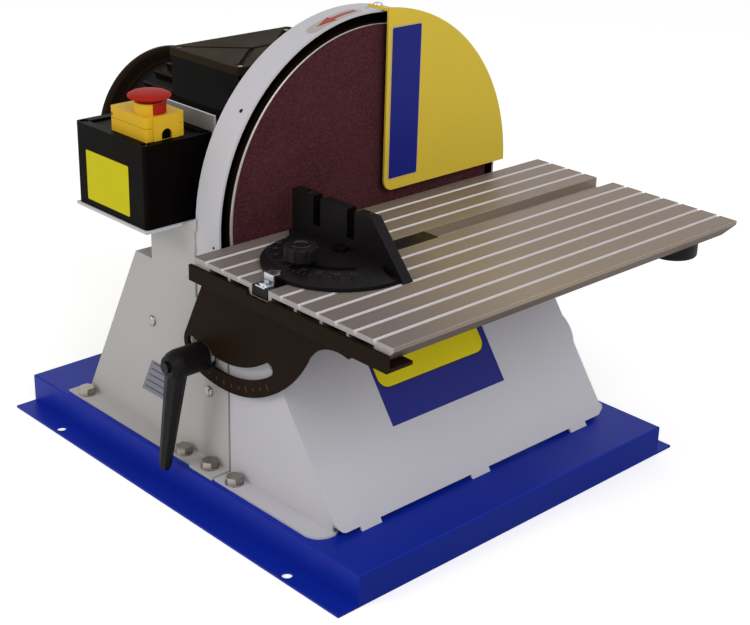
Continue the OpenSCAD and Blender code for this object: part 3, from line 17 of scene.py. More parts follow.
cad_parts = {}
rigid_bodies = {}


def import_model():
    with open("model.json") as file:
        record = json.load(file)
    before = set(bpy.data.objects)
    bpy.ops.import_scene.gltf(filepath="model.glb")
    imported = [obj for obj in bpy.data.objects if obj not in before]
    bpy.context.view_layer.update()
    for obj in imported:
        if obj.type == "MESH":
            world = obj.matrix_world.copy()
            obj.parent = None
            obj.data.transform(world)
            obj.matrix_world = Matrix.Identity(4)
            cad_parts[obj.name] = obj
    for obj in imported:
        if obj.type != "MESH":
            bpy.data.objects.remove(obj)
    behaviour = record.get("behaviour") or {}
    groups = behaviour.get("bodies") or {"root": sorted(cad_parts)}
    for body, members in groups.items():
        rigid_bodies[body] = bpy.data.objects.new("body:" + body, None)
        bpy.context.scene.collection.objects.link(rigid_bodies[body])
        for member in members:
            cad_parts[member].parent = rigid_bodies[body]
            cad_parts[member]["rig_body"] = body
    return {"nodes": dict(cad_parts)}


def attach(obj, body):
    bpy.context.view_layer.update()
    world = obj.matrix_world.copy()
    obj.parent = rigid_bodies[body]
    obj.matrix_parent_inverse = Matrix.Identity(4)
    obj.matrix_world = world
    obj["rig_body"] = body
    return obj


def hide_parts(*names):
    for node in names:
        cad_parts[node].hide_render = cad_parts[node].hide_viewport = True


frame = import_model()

LOG = logging.getLogger("disc_sander")
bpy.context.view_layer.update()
MM = 0.001
# Face attribute for paler marked faces: edge wear on coats and casts, and painted highlights on the table
# and the capacitor lid.
WEAR_AND_HIGHLIGHT = "edge_wear_and_highlight"
# Cosine from which a face counts as looking one way, and sine from which it counts as sloped.
FACING = 0.9
SLOPED = 0.3
# Places closer than this in millimetres count as the same.
NEAR = 0.05
# Gap in millimetres that keeps a film clear of what it lies on.
FILM_GAP = 0.03
# Points closer than this in metres are one; faces within this many degrees are flat.
WELD = 2e-6
FLAT = 0.3
# Steps across a bent fold and around a small turned form.
FOLD_STEPS = 5
SMALL_STEPS = 24
# Crease in degrees of a copy with rounded edges.
COPY_CREASE = 38.0
# Gap in millimetres between ink and its ground, and how far a raised form reaches into its ground.
INK_GAP = 0.02
SINK = 0.02
# Measures that belong together, such as a place on a face or the ends of a span; and a linear colour.
Pair = tuple[float, float]
Triple = tuple[float, float, float]
Colour = tuple[float, float, float, float]


class Slot(Enum):
    """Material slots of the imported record."""

    BLUE_PAINT = "blue_paint"
    WHITE_PAINT = "white_paint"
    YELLOW_PAINT = "yellow_paint"
    BLACK_PAINT = "black_paint"
    TABLE_ALUMINIUM = "table_aluminium"
    DISC_ALUMINIUM = "disc_aluminium"
    MOTOR_ALUMINIUM = "motor_aluminium"
    ABRASIVE = "abrasive"
    BLACK_PLASTIC = "black_plastic"
    YELLOW_PLASTIC = "yellow_plastic"
    RED_PLASTIC = "red_plastic"
    GREEN_PLASTIC = "green_plastic"
    ZINC_STEEL = "zinc_steel"
    BEARING_STEEL = "bearing_steel"
    CORE_STEEL = "core_steel"


class Side(Enum):
    """Left or right half of the sander, as its nodes name it."""

    LEFT = "left"
    RIGHT = "right"


def linear(code: str) -> Colour:
    """Turns an sRGB hex code into a linear colour.

    Args:
        code: The colour as "#RRGGBB".

    Returns:
        Red, green, blue and an alpha of 1, linear.
    """
    parts = [int(code[i : i + 2], 16) / 255 for i in (1, 3, 5)]
    red, green, blue = (c / 12.92 if c <= 0.04045 else ((c + 0.055) / 1.055) ** 2.4 for c in parts)
    return red, green, blue, 1.0


def add_node(
    tree: bpy.types.NodeTree,
    kind: str,
    settings: dict[str, object] | None = None,
    values: dict[str | int, object] | None = None,
    links: dict[str | int, bpy.types.NodeSocket] | None = None,
) -> bpy.types.Node:
    """Adds a node with its settings, constant inputs and links.

    Args:
        tree: The tree that takes the node.
        kind: The node's type name.
        settings: Attributes of the node.
        values: Constant inputs, by name or number.
        links: Sockets that feed its inputs, by name or number.

    Returns:
        The new node.
    """
    node = tree.nodes.new(kind)
    for name, value in (settings or {}).items():
        setattr(node, name, value)
    for key, value in (values or {}).items():
        node.inputs[key].default_value = value
    for key, source in (links or {}).items():
        tree.links.new(source, node.inputs[key])
    return node


# Patterns and finishes


@dataclass(frozen=True)
class Spots:
    """Soft random spots, by their real size along X, Y and Z in millimetres."""

    size: Triple
    detail: float = 2.0

    def draw(self, tree: bpy.types.NodeTree) -> bpy.types.NodeSocket:
        """Draws the spots in a material.

        Args:
            tree: The material's tree.

        Returns:
            Their strength, which lies mostly between 0.3 and 0.7.
        """
        place = add_node(tree, "ShaderNodeTexCoord").outputs["Object"]
        scale = tuple(1 / (s * MM) for s in self.size)
        mapped = add_node(tree, "ShaderNodeMapping", values={"Scale": scale}, links={"Vector": place})
        values = {"Scale": 1.0, "Detail": self.detail}
        links = {"Vector": mapped.outputs[0]}
        return add_node(tree, "ShaderNodeTexNoise", values=values, links=links).outputs[0]


@dataclass(frozen=True)
class Rings:
    """Rings of a lathe tool around an axis along Y, by its height and their pitch in millimetres."""

    axis_height: float
    pitch: float
    detail: float = 3.0

    def draw(self, tree: bpy.types.NodeTree) -> bpy.types.NodeSocket:
        """Draws the rings in a material.

        Args:
            tree: The material's tree.

        Returns:
            Their strength, which lies mostly between 0.3 and 0.7.
        """
        place = add_node(tree, "ShaderNodeTexCoord").outputs["Object"]
        values = {"Location": (0, 0, -self.axis_height * MM), "Scale": (1, 0, 1)}
        around = add_node(tree, "ShaderNodeMapping", values=values, links={"Vector": place})
        reach = add_node(tree, "ShaderNodeVectorMath", {"operation": "LENGTH"}, links={0: around.outputs[0]})
        values = {"Scale": 1 / (self.pitch * MM), "Detail": self.detail}
        links = {"W": reach.outputs["Value"]}
        return add_node(tree, "ShaderNodeTexNoise", {"noise_dimensions": "1D"}, values, links).outputs[0]


@dataclass(frozen=True)
class Along:
    """The place along X, for a tone that drifts from end to end."""

    def draw(self, tree: bpy.types.NodeTree) -> bpy.types.NodeSocket:
        """Gives the place along X in metres, in a material's tree."""
        place = add_node(tree, "ShaderNodeTexCoord").outputs["Object"]
        return add_node(tree, "ShaderNodeSeparateXYZ", links={0: place}).outputs[0]


Pattern = Spots | Rings | Along
Tone = str | float
MOSTLY: Pair = (0.3, 0.7)
WHOLE: Pair = (0.0, 1.0)
RANGE_SOCKETS = ("From Min", "From Max", "To Min", "To Max")


def spots(size: float, detail: float = 2.0) -> Spots:
    """Spots of the same size each way."""
    return Spots((size, size, size), detail)


@dataclass(frozen=True)
class Layer:
    """A tone over those before it.

    The tone is a colour of its own, or a share by which the finish's colour is lighter or darker. It shows
    where its pattern is in the span, up to its share, and only on faces marked for edge wear and painted
    highlights if kept to them.
    """

    tone: Tone
    pattern: Pattern | None = None
    span: Pair = MOSTLY
    share: float = 1.0
    on_edges: bool = False

    def cover(
        self, tree: bpy.types.NodeTree, drawn: dict[Pattern, bpy.types.NodeSocket]
    ) -> bpy.types.NodeSocket:
        """Works out how much of the layer shows.

        Args:
            tree: The material's tree.
            drawn: The patterns that are drawn in it.

        Returns:
            The share of the layer, from 0 to 1.
        """
        factors = {}
        if self.pattern:
            limits = (*self.span, 0.0, self.share)
            values = dict(zip(RANGE_SOCKETS, limits))
            links = {"Value": drawn[self.pattern]}
            factors[1] = add_node(tree, "ShaderNodeMapRange", values=values, links=links).outputs[0]
            if not self.on_edges:
                return factors[1]
        factors[0] = add_node(tree, "ShaderNodeAttribute", {"attribute_name": WEAR_AND_HIGHLIGHT}).outputs["Fac"]
        both = add_node(tree, "ShaderNodeMath", {"operation": "MULTIPLY"}, {1: self.share}, factors)
        return both.outputs[0]


@dataclass(frozen=True)
class Skin:
    """What a finish is made of: first tone, layers, bumps, drift of the roughness and constant sockets."""

    base: float
    layers: tuple[Layer, ...]
    grain: Pattern
    depth: float
    strength: float
    drift: Pair | None
    sockets: dict[str | int, object]


@dataclass(frozen=True)
class Finish:
    """A surface named for its material and the way it was made, with the record's slot for it."""

    name: str
    colour: str
    slot: Slot
    roughness: float = 0.4

    def skin(self) -> Skin:
        """What this finish is made of; each kind has its own."""
        raise NotImplementedError

    def shade(self, tone: Tone) -> Colour:
        """Turns a tone of this finish into a linear colour.

        Args:
            tone: A colour of its own, or a share by which the finish's colour is lighter or darker.

        Returns:
            The colour, with no channel above 1.
        """
        if isinstance(tone, str):
            return linear(tone)
        red, green, blue, alpha = linear(self.colour)
        return min(red * tone, 1.0), min(green * tone, 1.0), min(blue * tone, 1.0), alpha

    def material(self) -> bpy.types.Material:
        """Makes the material once and gives it back each time.

        Returns:
            The node material of this finish.
        """
        found = bpy.data.materials.get(self.name)
        if found:
            return found
        made = bpy.data.materials.new(self.name)
        made.use_nodes = True
        tree = made.node_tree
        tree.nodes.clear()
        skin = self.skin()
        patterns = [layer.pattern for layer in skin.layers if layer.pattern] + [skin.grain]
        drawn = {pattern: pattern.draw(tree) for pattern in dict.fromkeys(patterns)}
        links = {"Base Color": self.coloured(tree, skin, drawn)}
        if skin.drift:
            limits = (*MOSTLY, *(self.roughness + drift for drift in skin.drift))
            values = dict(zip(RANGE_SOCKETS, limits))
            source = {"Value": drawn[patterns[0]]}
            links["Roughness"] = add_node(tree, "ShaderNodeMapRange", values=values, links=source).outputs[0]
        values = {"Strength": skin.strength, "Distance": skin.depth * MM}
        source = {"Height": drawn[skin.grain]}
        links["Normal"] = add_node(tree, "ShaderNodeBump", values=values, links=source).outputs["Normal"]
        constants = {"Roughness": self.roughness, **skin.sockets}
        shader = add_node(tree, "ShaderNodeBsdfPrincipled", values=constants, links=links)
        add_node(tree, "ShaderNodeOutputMaterial", links={"Surface": shader.outputs["BSDF"]})
        return made

    def coloured(
        self, tree: bpy.types.NodeTree, skin: Skin, drawn: dict[Pattern, bpy.types.NodeSocket]
    ) -> bpy.types.NodeSocket:
        """Lays the tones of a skin over one another.

        Args:
            tree: The material's tree.
            skin: What the finish is made of.
            drawn: The patterns that are drawn in the tree.

        Returns:
            The colour.
        """
        under: dict[str | int, bpy.types.NodeSocket] = {}
        for layer in skin.layers:
            values = {6: self.shade(skin.base), 7: self.shade(layer.tone)}
            links = {0: layer.cover(tree, drawn), **under}
            under = {6: add_node(tree, "ShaderNodeMix", {"data_type": "RGBA"}, values, links).outputs[2]}
        return under[6]


@dataclass(frozen=True)
class PowderCoat(Finish):
    """Polyester powder sprayed on sheet steel and baked."""

    # Baked powder flows into a satin skin with a fine orange peel, thinner and paler on sharp edges.
    roughness: float = 0.38
    rub: float = 1.25
    sheen: float = 0.5

    def skin(self) -> Skin:
        """Sets up the faint cloud, the rubbed edges and the orange peel.

        Returns:
            What the coat is made of.
        """
        layers = Layer(1.05, spots(90, 3.0), WHOLE), Layer(self.rub, spots(9, 3.0), on_edges=True)
        # Orange peel is about 1 mm across; it is drawn at twice that so that it shows.
        peel = spots(2.4)
        sockets = {"Specular IOR Level": self.sheen}
        return Skin(0.94, layers, peel, depth=0.05, strength=0.22, drift=(-0.04, 0.05), sockets=sockets)


@dataclass(frozen=True)
class ExtrudedAluminium(Finish):
    """Aluminium alloy pushed through a die and satin anodised."""

    # The die leaves fine straight lines along the bar, which stretch the highlights across it.
    roughness: float = 0.34
    # Colour of the painted highlight on the faces that the table marks.
    bright: str = "#EFE9EC"
    warm: str = "#8A7B70"
    metallic: float = 0.7
    sheen: float = 0.5
    # Tints of the left and right ends, which drift in along X from the middle, and where they are full.
    ends: tuple[str, ...] = ()
    ends_x: Pair = (-165.0, 150.0)
    middle_x: float = -40.0

    def skin(self) -> Skin:
        """Sets up the die lines along X, the warm cloud, the tinted ends and the painted highlights on
        marked faces.

        Returns:
            What the surface is made of.
        """
        # Die lines are about 0.2 mm apart; they are drawn at 1.1 mm so that they show.
        lines = Spots((700, 1.1, 1.1), 4.0)
        layers = [Layer(1.07, lines), Layer(self.warm, Spots((160, 45, 45)), share=0.22)]
        for tint, end in zip(self.ends, self.ends_x):
            layers.append(Layer(tint, Along(), (self.middle_x * MM, end * MM), 0.85))
        layers.append(Layer(self.bright, on_edges=True))
        sockets = {"Metallic": self.metallic, "Specular IOR Level": self.sheen, "Anisotropic": 0.35}
        return Skin(
            0.9, tuple(layers), lines, depth=0.02, strength=0.2, drift=(-0.05, 0.08), sockets=sockets
        )


@dataclass(frozen=True)
class TurnedMetal(Finish):
    """Metal faced on a lathe about the disc's axis."""

    # The tool leaves rings around the axis, which catch the light as a fan of fine arcs.
    roughness: float = 0.3
    axis_height: float = 239.5
    pitch: float = 1.2
    metallic: float = 1.0

    def skin(self) -> Skin:
        """Sets up the rings of the tool.

        Returns:
            What the surface is made of.
        """
        # Turned rings are about 0.2 mm apart; they are drawn coarser so that they show.
        rings = Rings(self.axis_height, self.pitch)
        layers = (Layer(1.1, rings),)
        sockets = {"Metallic": self.metallic}
        return Skin(0.82, layers, rings, depth=0.02, strength=0.25, drift=(-0.06, 0.1), sockets=sockets)


@dataclass(frozen=True)
class PlatedSteel(Finish):
    """Zinc-plated and blued steel of bought screws, nuts and studs."""

    # Passivated zinc is bright but cloudy, with a faint blue and yellow cast.
    roughness: float = 0.27
    cast: str = "#C6C9CE"

    def skin(self) -> Skin:
        """Sets up the plating's cloud and its cast.

        Returns:
            What the plating is made of.
        """
        layers = (Layer(self.cast, spots(7)),)
        grain, sockets = spots(0.8), {"Metallic": 1.0}
        return Skin(0.92, layers, grain, depth=0.01, strength=0.2, drift=(-0.06, 0.1), sockets=sockets)


@dataclass(frozen=True)
class CastAluminium(Finish):
    """Pressure-cast aluminium under a thin dark enamel."""

    # Cast skin is dull and slightly pebbled, and the enamel is thin on the ribs' crests.
    roughness: float = 0.46
    sheen: float = 0.2

    def skin(self) -> Skin:
        """Sets up the pebbled skin and the thin crests.

        Returns:
            What the surface is made of.
        """
        layers = Layer(1.2, spots(40, 3.0), WHOLE), Layer(1.9, on_edges=True)
        # Cast grain is about 0.5 mm across; it is drawn at 1.6 mm so that it shows.
        grain = spots(1.6, 3.0)
        sockets = {"Specular IOR Level": self.sheen}
        return Skin(0.85, layers, grain, depth=0.12, strength=0.3, drift=(-0.06, 0.08), sockets=sockets)


@dataclass(frozen=True)
class MouldedPlastic(Finish):
    """Thermoplastic injected into a spark-eroded mould."""

    # The eroded mould gives an even fine matt grain and a soft sheen; its rounded edges are paler, partly as
    # polished wear and partly as a painted highlight.
    roughness: float = 0.42
    grain: float = 1.0
    rub: float = 1.5
    see_in: float = 0.0
    sheen: float = 0.5

    def skin(self) -> Skin:
        """Sets up the moulded grain and the paler edges, partly wear and partly painted highlight.

        Returns:
            What the surface is made of.
        """
        layers = Layer(1.07, spots(30, 3.0), WHOLE), Layer(self.rub, share=0.6, on_edges=True)
        sockets = {
            "IOR": 1.5,
            "Specular IOR Level": self.sheen,
            "Subsurface Weight": self.see_in,
            "Subsurface Radius": (1.0 * MM, 0.8 * MM, 0.4 * MM),
        }
        # Mould grain is about 0.1 mm across; it is drawn coarser so that it shows.
        grain = spots(self.grain, 3.0)
        return Skin(0.93, layers, grain, depth=0.05, strength=0.25, drift=(-0.05, 0.06), sockets=sockets)


@dataclass(frozen=True)
class AbrasiveCloth(Finish):
    """Aluminium-oxide grit electro-coated on cloth with resin."""

    # Open grit scatters all light; paler grains stand in a dark red-brown resin.
    roughness: float = 0.86
    grain: float = 1.0
    dust: str = "#6B4038"

    def skin(self) -> Skin:
        """Sets up the grit, its resin and the fine dust between.

        Returns:
            What the surface is made of.
        """
        # Grit of 80 mesh is about 0.2 mm across; it is drawn at 1 mm so that it shows.
        grit = spots(self.grain, 4.0)
        layers = Layer(1.75, grit, (0.42, 0.68)), Layer(self.dust, spots(55, 3.0), share=0.16)
        sockets = {"Specular IOR Level": 0.08}
        return Skin(0.62, layers, grit, depth=0.2, strength=0.4, drift=None, sockets=sockets)


@dataclass(frozen=True)
class PrintedFilm(Finish):
    """Ink printed on vinyl or foil film that is stuck down."""

    # The film is smooth with a soft gloss, and takes a slight ripple from what it lies on.
    roughness: float = 0.32
    metallic: float = 0.0
    sheen: float = 0.25

    def skin(self) -> Skin:
        """Sets up the ink and the film's ripple.

        Returns:
            What the film is made of.
        """
        sockets = {"Metallic": self.metallic, "Specular IOR Level": self.sheen}
        layers, ripple = (Layer(1.08, spots(35), WHOLE),), spots(6)
        return Skin(0.92, layers, ripple, depth=0.03, strength=0.12, drift=(-0.04, 0.06), sockets=sockets)


BLUE_COAT = PowderCoat("steel_powder_coat_royal_blue", "#0D279D", Slot.BLUE_PAINT, 0.38, sheen=0.12)
# Painted shade: the royal blue coat painted darker for the tray's front and back walls.
BLUE_FRONT_SHADE = PowderCoat("steel_powder_coat_royal_blue_painted_shade", "#051F7F", Slot.BLUE_PAINT, 0.42, sheen=0.05)
WHITE_COAT = PowderCoat(
    "steel_powder_coat_grey_white", "#C5C4CA", Slot.WHITE_PAINT, 0.45, rub=1.1, sheen=0.15
)
# Painted shade: the grey-white coat painted darker and warmer for the stand, its posts and its tongue.
STAND_SHADE_COAT = PowderCoat(
    "steel_powder_coat_grey_white_painted_shade", "#B8B6B4", Slot.WHITE_PAINT, 0.45, rub=1.1, sheen=0.15
)
YELLOW_COAT = PowderCoat(
    "steel_powder_coat_yellow", "#DEC241", Slot.YELLOW_PAINT, 0.45, rub=1.1, sheen=0.1
)
# Painted shade: a dark grey for the left side of the bracket's wall, which lies in shadow.
WALL_SHADE_COAT = PowderCoat("steel_powder_coat_dark_grey_painted_shade", "#8A8784", Slot.WHITE_PAINT, 0.5, rub=1.5, sheen=0.1)
BLACK_COAT = PowderCoat("steel_powder_coat_black", "#1F150D", Slot.BLACK_PAINT, 0.5, rub=1.8, sheen=0.03)
TABLE_METAL = ExtrudedAluminium(
    "aluminium_extruded_satin", "#978771", Slot.TABLE_ALUMINIUM, 0.42, metallic=0.15, sheen=0.12,
    ends=("#786F6E", "#8B7C71"),
)
# Painted shade: the table's aluminium painted darker for the underside of the front lip.
TABLE_UNDERSIDE_SHADE = ExtrudedAluminium(
    "aluminium_extruded_painted_shade", "#5A4C40", Slot.TABLE_ALUMINIUM, 0.5, metallic=0.15, sheen=0.05
)
DISC_METAL = TurnedMetal("aluminium_turned", "#BDB5B7", Slot.DISC_ALUMINIUM, metallic=0.3)
BEARING_METAL = TurnedMetal("bearing_steel_ground", "#B9BBBE", Slot.BEARING_STEEL, 0.2)
CORE_METAL = TurnedMetal("core_steel_laminated", "#6E6C6A", Slot.CORE_STEEL, 0.5, pitch=0.8)
MOTOR_CAST = CastAluminium("aluminium_cast_dark_enamel", "#110D0B", Slot.MOTOR_ALUMINIUM, sheen=0.08)
ZINC = PlatedSteel("steel_zinc_plated", "#B9BDC4", Slot.ZINC_STEEL)
# A darker, warmer zinc for the foot bolts, nuts and side screws.
DARK_ZINC = PlatedSteel("steel_zinc_plated_dark", "#9C958E", Slot.ZINC_STEEL, 0.3, "#AAA39B")
BLACKED_STEEL = PlatedSteel("steel_blacked", "#1A1718", Slot.ZINC_STEEL, 0.42, "#262223")
# The black plastic's rounded edges are painted much paler: partly rubbed wear, partly painted highlight.
BLACK_PLASTIC = MouldedPlastic(
    "polyamide_moulded_black", "#110E0F", Slot.BLACK_PLASTIC, 0.46, rub=4.5, sheen=0.12
)
CAP_PLASTIC = MouldedPlastic(
    "polyamide_polished_black", "#161314", Slot.BLACK_PLASTIC, 0.18, grain=2.0, sheen=0.35
)
BOX_PLASTIC = MouldedPlastic(
    "abs_moulded_black", "#070504", Slot.BLACK_PLASTIC, 0.45, grain=1.6, sheen=0.03
)
# Painted highlight: the lid's crossed grooves are painted much paler.
LID_PLASTIC = MouldedPlastic(
    "abs_moulded_brown_black", "#2E251A", Slot.BLACK_PLASTIC, 0.55, grain=1.6, rub=4.0, sheen=0.02
)
YELLOW_PLASTIC = MouldedPlastic(
    "abs_moulded_yellow", "#DCB02A", Slot.YELLOW_PLASTIC, 0.42, rub=1.12, see_in=0.05, sheen=0.06
)
RED_PLASTIC = MouldedPlastic(
    "abs_moulded_red", "#A4241B", Slot.RED_PLASTIC, 0.45, rub=1.15, see_in=0.05, sheen=0.03
)
GREEN_PLASTIC = MouldedPlastic("abs_moulded_green", "#1E7A3A", Slot.GREEN_PLASTIC, 0.36, rub=1.2)
GRIT = AbrasiveCloth("aluminium_oxide_cloth", "#462329", Slot.ABRASIVE)
BLUE_FILM = PrintedFilm("vinyl_film_printed_blue", "#1E257D", Slot.BLUE_PAINT, sheen=0.08)
RIM_FILM = PrintedFilm("vinyl_film_clear_rim", "#C9B684", Slot.YELLOW_PAINT, sheen=0.08)
LABEL_FILM = PrintedFilm("vinyl_film_printed_royal_blue", "#292E7F", Slot.BLUE_PAINT, sheen=0.08)
YELLOW_FILM = PrintedFilm("vinyl_film_printed_yellow", "#DDCE1E", Slot.YELLOW_PAINT, sheen=0.1)
BOX_FILM = PrintedFilm("vinyl_film_printed_lemon", "#CDC310", Slot.YELLOW_PAINT, sheen=0.05)
RED_FILM = PrintedFilm("vinyl_film_printed_red", "#A32A25", Slot.RED_PLASTIC, sheen=0.1)
CLEAR_FILM = PrintedFilm("polyester_film_clear_aged", "#A8A29A", Slot.WHITE_PAINT)
FOIL = PrintedFilm("aluminium_foil_blank", "#7E7F88", Slot.MOTOR_ALUMINIUM, 0.4, 0.1)
DULL_INK = PrintedFilm("ink_printed_dull_red", "#6A3325", Slot.RED_PLASTIC, 0.5)
GREY_INK = PrintedFilm("ink_rubbed_grey", "#332E31", Slot.BLACK_PLASTIC, 0.5)
DARK_INK = PrintedFilm("ink_printed_dark", "#23222E", Slot.BLACK_PLASTIC, 0.5)
RULE_INK = PrintedFilm("ink_printed_slate", "#4C4D59", Slot.BLACK_PLASTIC, 0.5)


# Mesh work shared by the sub-assemblies


def body_of(node: str) -> str:
    """The CAD body that a node rides on."""
    return frame["nodes"][node]["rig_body"]


def make_piece(
    name: str, work: bmesh.types.BMesh, body: str, finish: Finish, crease: float = 35.0
) -> bpy.types.Object:
    """Turns a worked mesh into a dressed piece that rides a body.

    Args:
        name: Name of the piece.
        work: The mesh in metres, in the part's frame; it is freed.
        body: The CAD body that carries the piece.
        finish: Its surface.
        crease: Faces that meet at more than this many degrees keep a sharp edge.

    Returns:
        The new object.
    """
    mesh = bpy.data.meshes.new(name)
    bmesh.ops.recalc_face_normals(work, faces=work.faces[:])
    for face in work.faces:
        face.smooth = True
    work.to_mesh(mesh)
    work.free()
    mesh.set_sharp_from_angle(angle=math.radians(crease))
    piece = bpy.data.objects.new(name, mesh)
    bpy.context.scene.collection.objects.link(piece)
    mesh.materials.append(finish.material())
    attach(piece, body)
    LOG.info("%s: %d faces, on %s, %s", name, len(mesh.polygons), body, finish.name)
    return piece


def even_out(piece: bpy.types.Object) -> None:
    """Weighs the normals by face area, so flat faces stay flat beside small rounds."""
    weigh = piece.modifiers.new("even_normals", "WEIGHTED_NORMAL")
    weigh.keep_sharp = True


def round_edges(
    work: bmesh.types.BMesh, edges: list[bmesh.types.BMEdge], radius: float, segments: int
) -> list[bmesh.types.BMFace]:
    """Rounds edges of a worked mesh.

    Args:
        work: The mesh.
        edges: Its edges to round.
        radius: Width of the rounding in millimetres.
        segments: Steps across the rounding.

    Returns:
        The new faces.
    """
    rounded = bmesh.ops.bevel(
        work,
        geom=edges,
        offset=radius * MM,
        offset_type="OFFSET",
        segments=segments,
        profile=0.5,
        affect="EDGES",
        clamp_overlap=True,
    )
    return rounded["faces"]


def soften(
    node: str,
    finish: Finish,
    radius: float,
    angle: float = 34.0,
    segments: int = 2,
    fold: tuple[float, Callable[[bmesh.types.BMEdge], bool]] | None = None,
    shape: Callable[[bmesh.types.BMesh], None] | None = None,
) -> bpy.types.Object:
    """Makes a copy of a CAD node with its sharp edges rounded, and shows it in the node's place.

    Args:
        node: The CAD node.
        finish: Surface of the copy.
        radius: Width of the rounding in millimetres.
        angle: Edges whose faces meet at more than this many degrees are rounded.
        segments: Steps across the rounding.
        fold: Width of the sheet's outer folds in millimetres, and which edges are such folds.
        shape: Changes the copy's form before its edges are rounded.

    Returns:
        The copy.
    """
    work = bmesh.new()
    work.from_mesh(frame["nodes"][node].data)
    bmesh.ops.remove_doubles(work, verts=work.verts[:], dist=WELD)
    bmesh.ops.dissolve_limit(
        work, angle_limit=math.radians(FLAT), verts=work.verts[:], edges=work.edges[:]
    )
    if shape:
        shape(work)
    wear_and_highlight_marks = work.faces.layers.float.new(WEAR_AND_HIGHLIGHT)
    if fold:
        round_edges(work, [e for e in work.edges if fold[1](e)], fold[0], FOLD_STEPS)
    limit = math.radians(angle)
    sharp = [e for e in work.edges if len(e.link_faces) == 2 and e.calc_face_angle(0) > limit]
    for face in round_edges(work, sharp, radius, segments):
        face[wear_and_highlight_marks] = 1.0
    piece = make_piece(node + "_dressed", work, body_of(node), finish, COPY_CREASE)
    even_out(piece)
    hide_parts(node)
    return piece


def overcoat(piece: bpy.types.Object, finish: Finish, test: Callable[[Vector, Vector], bool]) -> None:
    """Gives some faces of a dressed copy a second surface.

    Args:
        piece: The copy.
        finish: The second surface.
        test: Whether a face takes it, from its middle in millimetres and its normal.
    """
    mesh = piece.data
    mesh.materials.append(finish.material())
    for face in mesh.polygons:
        if test(face.center / MM, face.normal):
            face.material_index = 1


def dress(nodes: Iterable[str], finish: Finish) -> None:
    """Gives CAD nodes, shown as they are, a better surface.

    Args:
        nodes: Names of the nodes.
        finish: Their surface.
    """
    for name in nodes:
        mesh = frame["nodes"][name].data
        mesh.materials.clear()
        mesh.materials.append(finish.material())
        LOG.info("%s: CAD solid, %s", name, finish.name)


def rounded_outline(width: float, height: float, corner: float, steps: int = 6) -> list[Pair]:
    """Outline of a rectangle with round corners about its middle.

    Args:
        width: Full width in millimetres.
        height: Full height in millimetres.
        corner: Corner radius in millimetres.
        steps: Steps around each corner.

    Returns:
        Points of the outline, counter-clockwise.
    """
    points = []
    for quarter in range(4):
        side_x = 1 if quarter in (0, 3) else -1
        side_y = 1 if quarter in (0, 1) else -1
        for step in range(steps + 1):
            turn = math.radians(90 * (quarter + step / steps))
            points.append(
                (
                    side_x * (width / 2 - corner) + corner * math.cos(turn),
                    side_y * (height / 2 - corner) + corner * math.sin(turn),
                )
            )
    return points


def add_plate(
    work: bmesh.types.BMesh,
    outline: Sequence[Pair],
    thickness: float,
    place: Callable[[float, float, float], Sequence[float]],
) -> None:
    """Adds a thin plate over an outline, laid on any surface.

    Args:
        work: The mesh that takes the plate.
        outline: Points of the outline.
        thickness: Thickness in millimetres.
        place: Turns a point of the outline and its height into a place in millimetres.
    """
    rows = []
    for height in (0.0, thickness):
        rows.append([work.verts.new(Vector(place(u, v, height)) * MM) for u, v in outline])
    count = len(outline)
    work.faces.new(rows[1])
    work.faces.new(rows[0][::-1])
    for i in range(count):
        j = (i + 1) % count
        work.faces.new((rows[0][i], rows[0][j], rows[1][j], rows[1][i]))


def lay_plate(
    name: str,
    outline: Sequence[Pair],
    thickness: float,
    place: Callable[[float, float, float], Sequence[float]],
    finish: Finish,
    body: str = "base",
) -> None:
    """Makes a piece of one thin plate, such as a film.

    Args:
        name: Name of the piece.
        outline: Points of its outline.
        thickness: Its thickness in millimetres.
        place: Turns a point of the outline and its height into a place in millimetres.
        finish: Its surface.
        body: The CAD body that carries it.
    """
    work = bmesh.new()
    add_plate(work, outline, thickness, place)
    make_piece(name, work, body, finish)


def add_mark(
    work: bmesh.types.BMesh, middle: Vector, out: Vector, face: Vector, size: Pair, depth: float
) -> None:
    """Adds one mark of a scale.

    Args:
        work: The mesh that takes it.
        middle: Middle of its back in millimetres.
        out: The way it points.
        face: The way it looks.
        size: Its width and length in millimetres.
        depth: Its thickness in millimetres.
    """
    along = face.cross(out)
    half_w, half_l = size[0] / 2, size[1] / 2
    outline = [(-half_w, -half_l), (half_w, -half_l), (half_w, half_l), (-half_w, half_l)]
    add_plate(work, outline, depth, lambda u, v, h: middle + along * u + out * v + face * h)


def cut_across(
    work: bmesh.types.BMesh, at: Sequence[float], out: Sequence[float], clear: bool = False
) -> list[bmesh.types.BMEdge]:
    """Cuts a worked mesh along a plane.

    Args:
        work: The mesh.
        at: A place on the plane in millimetres.
        out: The plane's normal.
        clear: Whether what lies behind the plane goes.

    Returns:
        The edges along the cut.
    """
    whole = work.verts[:] + work.edges[:] + work.faces[:]
    cut = bmesh.ops.bisect_plane(
        work, geom=whole, plane_co=Vector(at) * MM, plane_no=out, clear_inner=clear
    )
    return [e for e in cut["geom_cut"] if isinstance(e, bmesh.types.BMEdge)]


def dome(radius: float, rise: float) -> list[Pair]:
    """Profile of a round head, from its rim to near its top, in millimetres."""
    turns = [math.radians(a) for a in range(0, 90, 15)]
    return [(radius * math.cos(t), rise * math.sin(t)) for t in turns]


